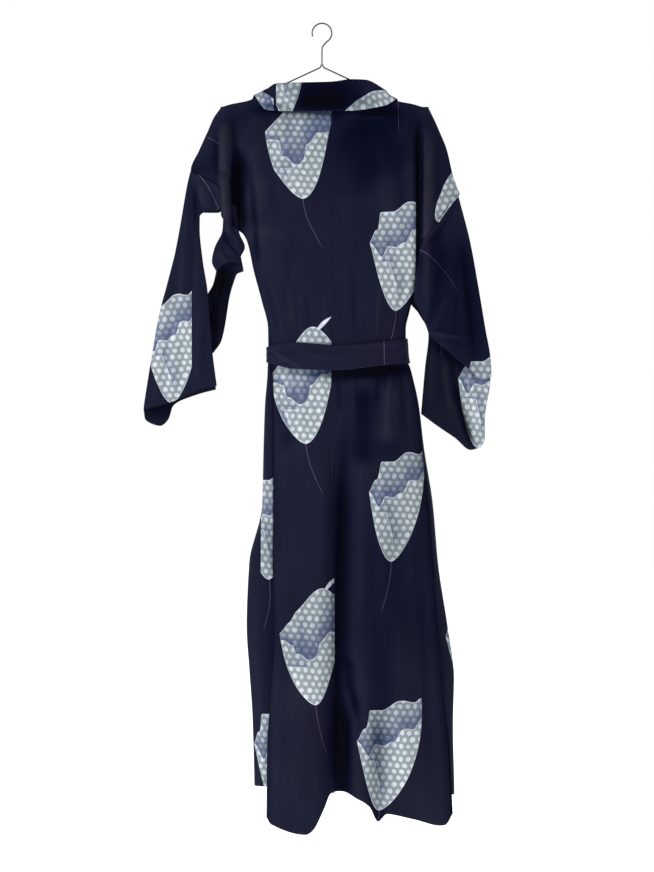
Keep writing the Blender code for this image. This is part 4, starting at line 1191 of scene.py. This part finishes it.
sleeves = {
    "columns": 56,
    "rows": 110,
    "rumple": (24, 0.6),
    "leftGap": 0.9,
    "leftInset": 0.5,
    "rightGap": 1.1,
    "insideStep": 4.0,
    "lap": 2.0,
    "lapHeights": (-400, -450),
    "frontLap": 4.0,
    "holdFade": 0.4,
    "puffTop": 0.35,
    "puffStart": 0.15,
    # y of the corners (top left, top right, foot left, foot right), puff, the share down to which the top
    # keeps to the body, seed, and the side that the layer looks to
    "layers": {
        "sleeve_left_back": ((-1, -14, -1, -13), -7, 0.1, 56, -1),
        "sleeve_left_front": ((1, 12, 1, 10), 7, 0.1, 57, 1),
        "sleeve_left_flap": ((-18, -10, -15, -13), -7, 0.42, 56, -1),
        "sleeve_left_under": ((-4, -9.8, -2, -2), 6, 0.1, 57, 1),
        "sleeve_right_back": ((-16, -1, -17, -5), -9, 0.1, 57, -1),
        "sleeve_right_front": ((12, 1, 2, 4), 8, 0.1, 58, 1),
    },
    # which side, down to where, and how far forward the sleeve's outer fold reaches
    "topFolds": {"sleeve_left_back": (-1, -796, 2.6), "sleeve_right_back": (1, -722, 3.2)},
    "leftHeights": [-306, -318, -333.5, -349],
    "rightHeights": [-462, -439, -418, -396, -375, -353],
    "leftOuter": [(-272.5, -306.9), (-278, -329), (-297, -437), (-314, -514), (-337, -603), (-356, -709),
                  (-371, -803)],
    "leftInner": [(-208.5, -349.9), (-209.5, -382), (-215, -390), (-246, -391), (-254, -400), (-254, -424),
                  (-248, -487), (-237, -557), (-227, -682), (-218, -753)],
    "leftCuff": [(-371, -803), (-312, -786), (-289, -776), (-256, -763), (-218, -753)],
    "leftCuffTurned": [(-371, -803), (-368, -822), (-337, -836), (-320, -822), (-310, -794), (-258, -770),
                       (-221, -760)],
    "flapTop": [(-203, -377), (-178, -377)],
    "flapLeft": [(-203, -377), (-206, -424), (-223, -468), (-228, -496), (-219, -516)],
    "flapRight": [(-178, -377), (-172, -433), (-160, -466), (-168, -487), (-163, -517)],
    "flapLip": [(-219, -516), (-207, -504), (-187, -496), (-170, -503), (-163, -517)],
    "underTop": [(-212, -462), (-173, -462)],
    "underLeft": [(-212, -462), (-219, -510), (-226, -541), (-240, -570), (-246, -690)],
    "underRight": [(-173, -462), (-167, -492), (-163, -514), (-176, -520), (-182, -534), (-191, -566),
                   (-202, -630), (-210, -661), (-226, -684)],
    "underFoot": [(-246, -690), (-226, -684)],
    "rightOuter": [(282, -353), (308, -456), (324, -545), (339, -636), (349, -693), (352, -734)],
    "rightInner": [(204, -462), (196, -512), (190, -576), (199, -592), (209, -612), (223, -651)],
    "rightLift": [(223, -651), (266, -686), (308, -720), (335, -740), (352, -734)],
    "rightFrontInner": [(197, -462), (186, -515), (180, -570), (203, -604), (222, -648), (215, -711),
                        (206, -811)],
    "rightFrontOuter": [(282, -353), (308, -456), (324, -545), (339, -636), (350, -700), (351, -735),
                        (339, -824), (339, -862), (331, -880)],
    "rightFrontHem": [(206, -811), (243, -838), (277, -861), (310, -886), (331, -880)],
    "creases": {
        "sleeve_left_back": [
            (-264, -318, -262, -430, 4, -3.5), (-246, -325, -250, -400, 6, 3),
            (-226, -340, -222, -395, 8, -4), (-279, -380, -296, -600, 7, 3.5),
            (-262, -420, -276, -640, 7, -3), (-300, -430, -336, -780, 9, -3),
            (-250, -560, -262, -770, 10, 3), (-318, -560, -350, -790, 9, 3),
            (-292, -640, -300, -780, 8, -2.5),
        ],
        "sleeve_left_front": [
            (-279, -380, -296, -600, 9, 3.5), (-262, -420, -276, -660, 8, -3),
            (-310, -450, -340, -780, 9, 3), (-240, -400, -242, -730, 9, 3), (-232, -330, -270, -430, 7, -3),
        ],
        "sleeve_left_flap": [
            (-206, -436, -168, -488, 5, -4), (-196, -420, -172, -462, 5, 3), (-216, -470, -196, -500, 6, 3),
            (-196, -385, -192, -450, 5, 4),
        ],
        "sleeve_left_under": [
            (-196, -500, -226, -640, 6, 3), (-206, -520, -236, -660, 5, -3),
            (-184, -500, -208, -640, 4, -2),
        ],
        "sleeve_right_back": [
            (244, -500, 226, -630, 9, -4.5), (222, -642, 290, -652, 5, 4), (224, -650, 270, -690, 5, -3.5),
            (228, -640, 262, -560, 6, 3), (260, -400, 300, -700, 12, 3), (290, -420, 322, -720, 9, -3),
            (275, -470, 282, -640, 8, -2.5), (222, -470, 214, -590, 7, 2.5),
        ],
        "sleeve_right_front": [
            (266, -700, 283, -806, 6, -6), (283, -800, 316, -884, 6, -6), (250, -690, 268, -830, 8, 4),
            (232, -640, 222, -800, 7, 3), (300, -720, 322, -850, 7, 4), (214, -560, 216, -700, 6, -3),
            (280, -420, 316, -640, 10, 3), (240, -480, 244, -640, 8, -3),
        ],
    },
    # painted shade: the left sleeve's under piece and cuff, the shadow under the right sleeve's lip, and the
    # right sleeve darker where less light falls
    "shades": {
        "sleeve_left_under": [(-195, -490, -232, -680, 30, 0.7), (-195, -506, -240, -560, 20, 0.7)],
        "sleeve_right_front": [(215, -650, 330, -735, 14, 0.7), (276, -750, 314, -880, 7, 0.9)],
        "sleeve_left_front": [(-370, -806, -290, -800, 16, 0.6)],
        "sleeve_right_back": [(250, -440, 240, -640, 12, 0.3), (270, -420, 330, -720, 60, 0.5)],
    },
    "leaves": {
        "sleeve_left_back": [
            (-306, -757, 0.04, 0.143, -7, 1, 0, -400, -270), (-250, -303, 0, 0, -46, 1.2, 1, -262, -218),
        ],
        "sleeve_left_front": [(-300, -620, 0, 0, -8, 0.2, 0)],
        "sleeve_right_back": [(337, -701, 0.026, 0.96, 0, 1, -1), (199, -470, 0, 0, -74, 1.7, 1)],
        "sleeve_right_front": [(325, -884, 0, 0, 3, 0.9, 0), (250, -640, 0, 0, 10, 0.2, 0)],
    },
}


def alongEdge(spots, share):
    # a smooth line through an outline's points, by the share of its length
    spots = np.array(spots, float)
    reach = np.concatenate([[0], np.cumsum(np.linalg.norm(np.diff(spots, axis=0), axis=1))])
    return np.stack([curveThrough(reach, spots[:, i], share * reach[-1]) for i in (0, 1)], axis=-1)


def patchBetween(left, right, top, bottom, columns, rows):
    # a grid that fills the space between four edges
    u, v = np.linspace(0, 1, columns)[None, :, None], np.linspace(0, 1, rows)[:, None, None]
    corners = [np.array(p, float) for p in (left[0], right[0], left[-1], right[-1])]
    sides = mix(alongEdge(left, v[:, :, 0]), alongEdge(right, v[:, :, 0]), u)
    ends = mix(alongEdge(top, u[:, :, 0]), alongEdge(bottom, u[:, :, 0]), v)
    flat = mix(mix(corners[0], corners[1], u), mix(corners[2], corners[3], u), v)
    return sides + ends - flat, u[:, :, 0], v[:, :, 0]


def sleevePoints(edges, depths, puff, bodyTop, hold):
    flat, u, v = patchBetween(*edges, sleeves["columns"], sleeves["rows"])
    x, z = flat[:, :, 0], flat[:, :, 1]
    topLeft, topRight, footLeft, footRight = depths
    y = mix(mix(topLeft, footLeft, v), mix(topRight, footRight, v), u)
    swell = np.sin(math.pi * np.minimum(v + sleeves["puffStart"], 1))
    y = y + puff * np.sin(math.pi * u) * mix(sleeves["puffTop"], 1, swell)
    if bodyTop:
        y = mix(bodyTop(x, z), y, smoothStep(hold, hold + sleeves["holdFade"], v))
    return np.stack([x, y, z], axis=2)


def makeSleeves():
    cut = sleeves
    onBack = lambda x, z: -wallDepth(body["backFolds"], x, z, 0)
    onFront = lambda x, z: wallDepth(body["frontFolds"], x, z, 0) + cut["lap"]
    insideBack = lambda x, z: cut["insideStep"] + onBack(x, z)
    start, full = cut["lapHeights"]
    lapped = lambda x, z: onBack(x, z) - cut["lap"] * smoothStep(-start, -full, -z)
    left = [(section("left", z) - cut["leftInset"], z - cut["leftGap"]) for z in cut["leftHeights"]]
    leftFront = [(x + cut["leftInset"], z + cut["frontLap"]) for x, z in left]
    right = [(section("right", z) + cut["rightGap"], z) for z in cut["rightHeights"]][1:]
    # each layer's edges at the left, right, top and foot, and how its top lies
    plans = {
        "sleeve_left_back": ((cut["leftOuter"], cut["leftInner"], left, cut["leftCuff"]), onBack),
        "sleeve_left_front": (
            (leftFront[:1] + cut["leftOuter"][1:], leftFront[-1:] + cut["leftInner"][1:], leftFront,
             cut["leftCuffTurned"]), onFront),
        "sleeve_left_flap": (
            (cut["flapLeft"], cut["flapRight"], cut["flapTop"], cut["flapLip"]), insideBack),
        "sleeve_left_under": (
            (cut["underLeft"], cut["underRight"], cut["underTop"], cut["underFoot"]), None),
        "sleeve_right_back": (
            (cut["rightInner"], cut["rightOuter"], cut["rightInner"][:1] + right, cut["rightLift"]), lapped),
        "sleeve_right_front": (
            (cut["rightFrontInner"], cut["rightFrontOuter"], cut["rightFrontInner"][:1] + right,
             cut["rightFrontHem"]), onFront),
    }
    for node, (edges, bodyTop) in plans.items():
        depths, puff, hold, seed, outward = cut["layers"][node]
        points = sleevePoints(edges, depths, puff, bodyTop, hold)
        points = addRelief(points, cut["creases"][node], cut["rumple"], seed, outward)
        if node in cut["topFolds"]:
            points = foldForward(points, *cut["topFolds"][node])
        makeCloth(node, points, outward, leaves=cut["leaves"].get(node, ()),
                  grain="flat", shades=cut["shades"].get(node, ()))


makeSleeves()
print("sleeves made")


# Sash

sash = {
    "step": 3.0,
    "frontStep": 12.6,
    "overLeft": (-0.95, -0.68),
    "overRight": (0.55, 0.9),
    "wall": 1.8,
    "rumple": (16, 0.5),
    "seed": 60,
    "rows": 22,
    "columns": 260,
    "sideGap": 0.008,
    "level": -690,
    "x": [-116, -96, -62, 31, 106, 180],
    "top": [-674, -668, -664, -670, -664, -654],
    "bottom": [-702, -709, -718, -722, -713, -705],
    "creases": [
        (-112, -676, -40, -716, 5, 3.2), (-112, -684, -56, -716, 4, -0.8), (-114, -690, -70, -704, 4, 2.6),
        (-108, -672, -70, -676, 4, 2.4), (-50, -690, 60, -700, 6, 1.2), (-116, -694, -86, -700, 3, -2),
        (-116, -680, -92, -690, 3, -2), (-96, -668, -40, -690, 5, -1.2), (40, -676, 170, -664, 5, 1.4),
        (30, -712, 150, -700, 5, -0.6), (150, -700, 178, -664, 5, 1.8),
    ],
    "stems": [(127, -666, 0, -0.1, 0, 0.6, 1)],
    # the knot's own creases, from its middle
    "knotCreases": [
        (-26, 10, 26, 2, 4.5, -4), (-24, -4, 24, -14, 4, -3.5), (-20, 22, 22, 15, 5, 2.5),
        (4, 28, -3, 6, 4, -3), (-6, -26, 2, -14, 4, -3), (12, -4, 20, -24, 4, 2), (-14, -8, -20, -24, 4, 2),
    ],
    "knotColumns": 60,
    "knotRound": 0.55,
    "knotSides": 0.10,
    "knotWaist": (0.14, 0.5),
    # the ends: x at the knot, x and z of the foot, and how much further out the foot hangs
    "ends": {"long": (-22, -58, -1010, 1.0), "short": (-2, 30, -930, 2.0)},
    "endTop": -690,
    "endWidth": 52,
    "endGathered": 17,
    "endSpread": (0.1, 0.5),
    "endGap": 0.7,
    "endRows": 90,
    "endColumns": 24,
}


def sashPoints(turn, share):
    # turn runs round the section: up to half a turn on the back, and on to a whole one in front
    cosine = np.cos(turn)
    x = spanPlace(cosine, sash["level"])
    z = mix(curveThrough(sash["x"], sash["top"], x), curveThrough(sash["x"], sash["bottom"], x), share)
    x = spanPlace(cosine, z)
    half = (section("spanRight", z) - section("spanLeft", z)) / 2
    onBack = turn <= math.pi
    over = smoothStep(*sash["overLeft"], cosine) * (1 - smoothStep(*sash["overRight"], cosine))
    standOff = np.where(onBack, sash["step"], mix(sash["step"], sash["frontStep"], over))
    depth = np.where(onBack, wallDepth(body["backFolds"], x, z, 0), wallDepth(body["frontFolds"], x, z, 0))
    slope = np.stack([cosine / half, np.abs(np.sin(turn)) / section("depth", z)], axis=-1)
    slope /= np.linalg.norm(slope, axis=-1, keepdims=True)
    y = np.where(onBack, -1, 1) * (depth + slope[..., 1] * standOff)
    return np.stack([x + slope[..., 0] * standOff, y, z], axis=-1)


def makeKnot():
    # the sash drawn once round itself: a pillow of cloth with creases that run to its middle
    low, high = (np.array(corner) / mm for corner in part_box("sash_knot"))
    middle, half = (low + high) / 2, (high - low) / 2
    across = np.linspace(-1, 1, sash["knotColumns"])[None, :]
    up = -across.T
    turn, rise = across * math.pi / 2, up * math.pi / 2
    nip, reach = sash["knotWaist"]
    x = half[0] * np.sin(turn) * (1 - sash["knotSides"] * np.cos(3 * up))
    z = half[2] * np.sin(rise) * (1 - nip * np.exp(-((across / reach) ** 2)))
    bulge = (np.cos(turn) * np.cos(rise)) ** sash["knotRound"]
    creases = creaseHeight(sash["knotCreases"], x, z)
    y = (2 * half[1] + creases) * bulge - half[1]
    points = np.stack(np.broadcast_arrays(middle[0] + x, middle[1] + y, middle[2] + z), axis=2)
    makeCloth("sash_knot", points, 1, "sash", sash["wall"])


def makeSash():
    gap = sash["sideGap"]
    for node, first, last, outward, leaves in (
        ("sash_back", math.pi - gap, gap, -1, sash["stems"]),
        ("sash_front", math.pi + gap, 2 * math.pi - gap, 1, ()),
    ):
        turn = np.linspace(first, last, sash["columns"])[None, :]
        turn, down = np.broadcast_arrays(turn, np.linspace(0, 1, sash["rows"])[:, None])
        points = addRelief(sashPoints(turn, down), sash["creases"], sash["rumple"], sash["seed"], outward)
        makeCloth(node, points, outward, "sash", sash["wall"], leaves)
    for word, (topX, endX, endZ, standOff) in sash["ends"].items():
        u = np.linspace(0, 1, sash["endColumns"])[None, :]
        v = np.linspace(0, 1, sash["endRows"])[:, None]
        width = mix(sash["endGathered"], sash["endWidth"], smoothStep(*sash["endSpread"], v))
        x = mix(topX, endX, v) + (u - 0.5) * width
        z = np.broadcast_to(mix(sash["endTop"], endZ, v), x.shape)
        y = frontDepth(x, z, 0, 0) + sash["frontStep"] + sash["wall"] + sash["endGap"] + standOff * v
        makeCloth("sash_end_" + word, np.stack([x, y, z], axis=2), 1, slot="sash",
                  wall=sash["wall"])


makeSash()
makeKnot()
print("sash made")


# Stage, light and camera

studio = {
    "pixelSize": 2.08,
    "pictureWidth": 654,
    "pictureHeight": 872,
    "pictureX": 322,
    "pictureY": 24,
    "sensorHeight": 36,
    "cameraDistance": 3.6,
    "floorHeight": -1.80,
    "floorRadius": 9.0,
    "floorSides": 96,
    "floorColour": (0.85, 0.85, 0.85, 1),
    "floorRoughness": 0.95,
    "floorGlow": 1.0,
    "white": (1, 1, 1, 1),
    "backdrop": 1.0,
    "roomLight": 0.19,
    # place, the place it points to, size and power
    "lights": {
        "keyLight": ((-3.0, -2.6, 0.9), (0, 0, -0.8), 1.3, 94),
        "fillLight": ((2.2, -3.4, -0.2), (0, 0, -0.9), 2.0, 16),
        "frontKeyLight": ((2.6, 3.0, 0.8), (0, 0, -0.8), 1.6, 80),
        "frontFillLight": ((-2.8, 2.6, 0.0), (0, 0, -0.9), 2.0, 20),
    },
}


def makeFloor():
    # a round pale floor, so that no wall stands between the garment and a camera behind it
    turns = [2 * math.pi * i / studio["floorSides"] for i in range(studio["floorSides"])]
    radius, height = studio["floorRadius"], studio["floorHeight"]
    rim = [(radius * math.cos(turn), radius * math.sin(turn), height) for turn in turns]
    mesh = bpy.data.meshes.new("studioFloor")
    mesh.from_pydata(rim, [], [tuple(range(len(rim)))])
    material, _, shader = newMaterial("studioPaper")
    for socket, value in (("Base Color", studio["floorColour"]), ("Roughness", studio["floorRoughness"]),
                          ("Emission Color", studio["white"]), ("Emission Strength", studio["floorGlow"])):
        shader.inputs[socket].default_value = value
    mesh.materials.append(material)
    addObject("studioFloor", mesh)


def aim(thing, target):
    thing.rotation_euler = (Vector(target) - thing.location).to_track_quat("-Z", "Y").to_euler()


def makeLights():
    for name, (place, target, size, power) in studio["lights"].items():
        data = bpy.data.lights.new(name, "AREA")
        data.shape = "DISK"
        data.size = size
        data.energy = power
        light = addObject(name, data)
        light.location = place
        aim(light, target)


def makeCamera():
    centreX = (studio["pictureWidth"] / 2 - studio["pictureX"]) * studio["pixelSize"] * mm
    centreZ = -(studio["pictureHeight"] / 2 - studio["pictureY"]) * studio["pixelSize"] * mm
    data = bpy.data.cameras.new("pictureCamera")
    data.sensor_fit = "VERTICAL"
    data.sensor_height = studio["sensorHeight"]
    shownHeight = studio["pictureHeight"] * studio["pixelSize"] * mm
    data.lens = data.sensor_height * studio["cameraDistance"] / shownHeight
    camera = addObject("pictureCamera", data)
    camera.location = (centreX, -studio["cameraDistance"], centreZ)
    aim(camera, (centreX, 0, centreZ))
    bpy.context.scene.camera = camera


def makeWorld():
    # a white backdrop in the picture, and a softer light from it on the cloth
    world = bpy.data.worlds.new("studioWorld")
    world.use_nodes = True
    tree = world.node_tree
    backdrop, soft = tree.nodes["Background"], tree.nodes.new("ShaderNodeBackground")
    for shader, strength in ((backdrop, studio["backdrop"]), (soft, studio["roomLight"])):
        shader.inputs["Color"].default_value = studio["white"]
        shader.inputs["Strength"].default_value = strength
    chooser = tree.nodes.new("ShaderNodeMixShader")
    seen = tree.nodes.new("ShaderNodeLightPath").outputs["Is Camera Ray"]
    for i, output in enumerate((seen, soft.outputs[0], backdrop.outputs[0])):
        tree.links.new(output, chooser.inputs[i])
    tree.links.new(chooser.outputs[0], tree.nodes["World Output"].inputs["Surface"])
    bpy.context.scene.world = world
    bpy.context.scene.view_settings.view_transform = "Standard"


makeFloor()
makeCamera()
makeLights()
makeWorld()
print("stage set")
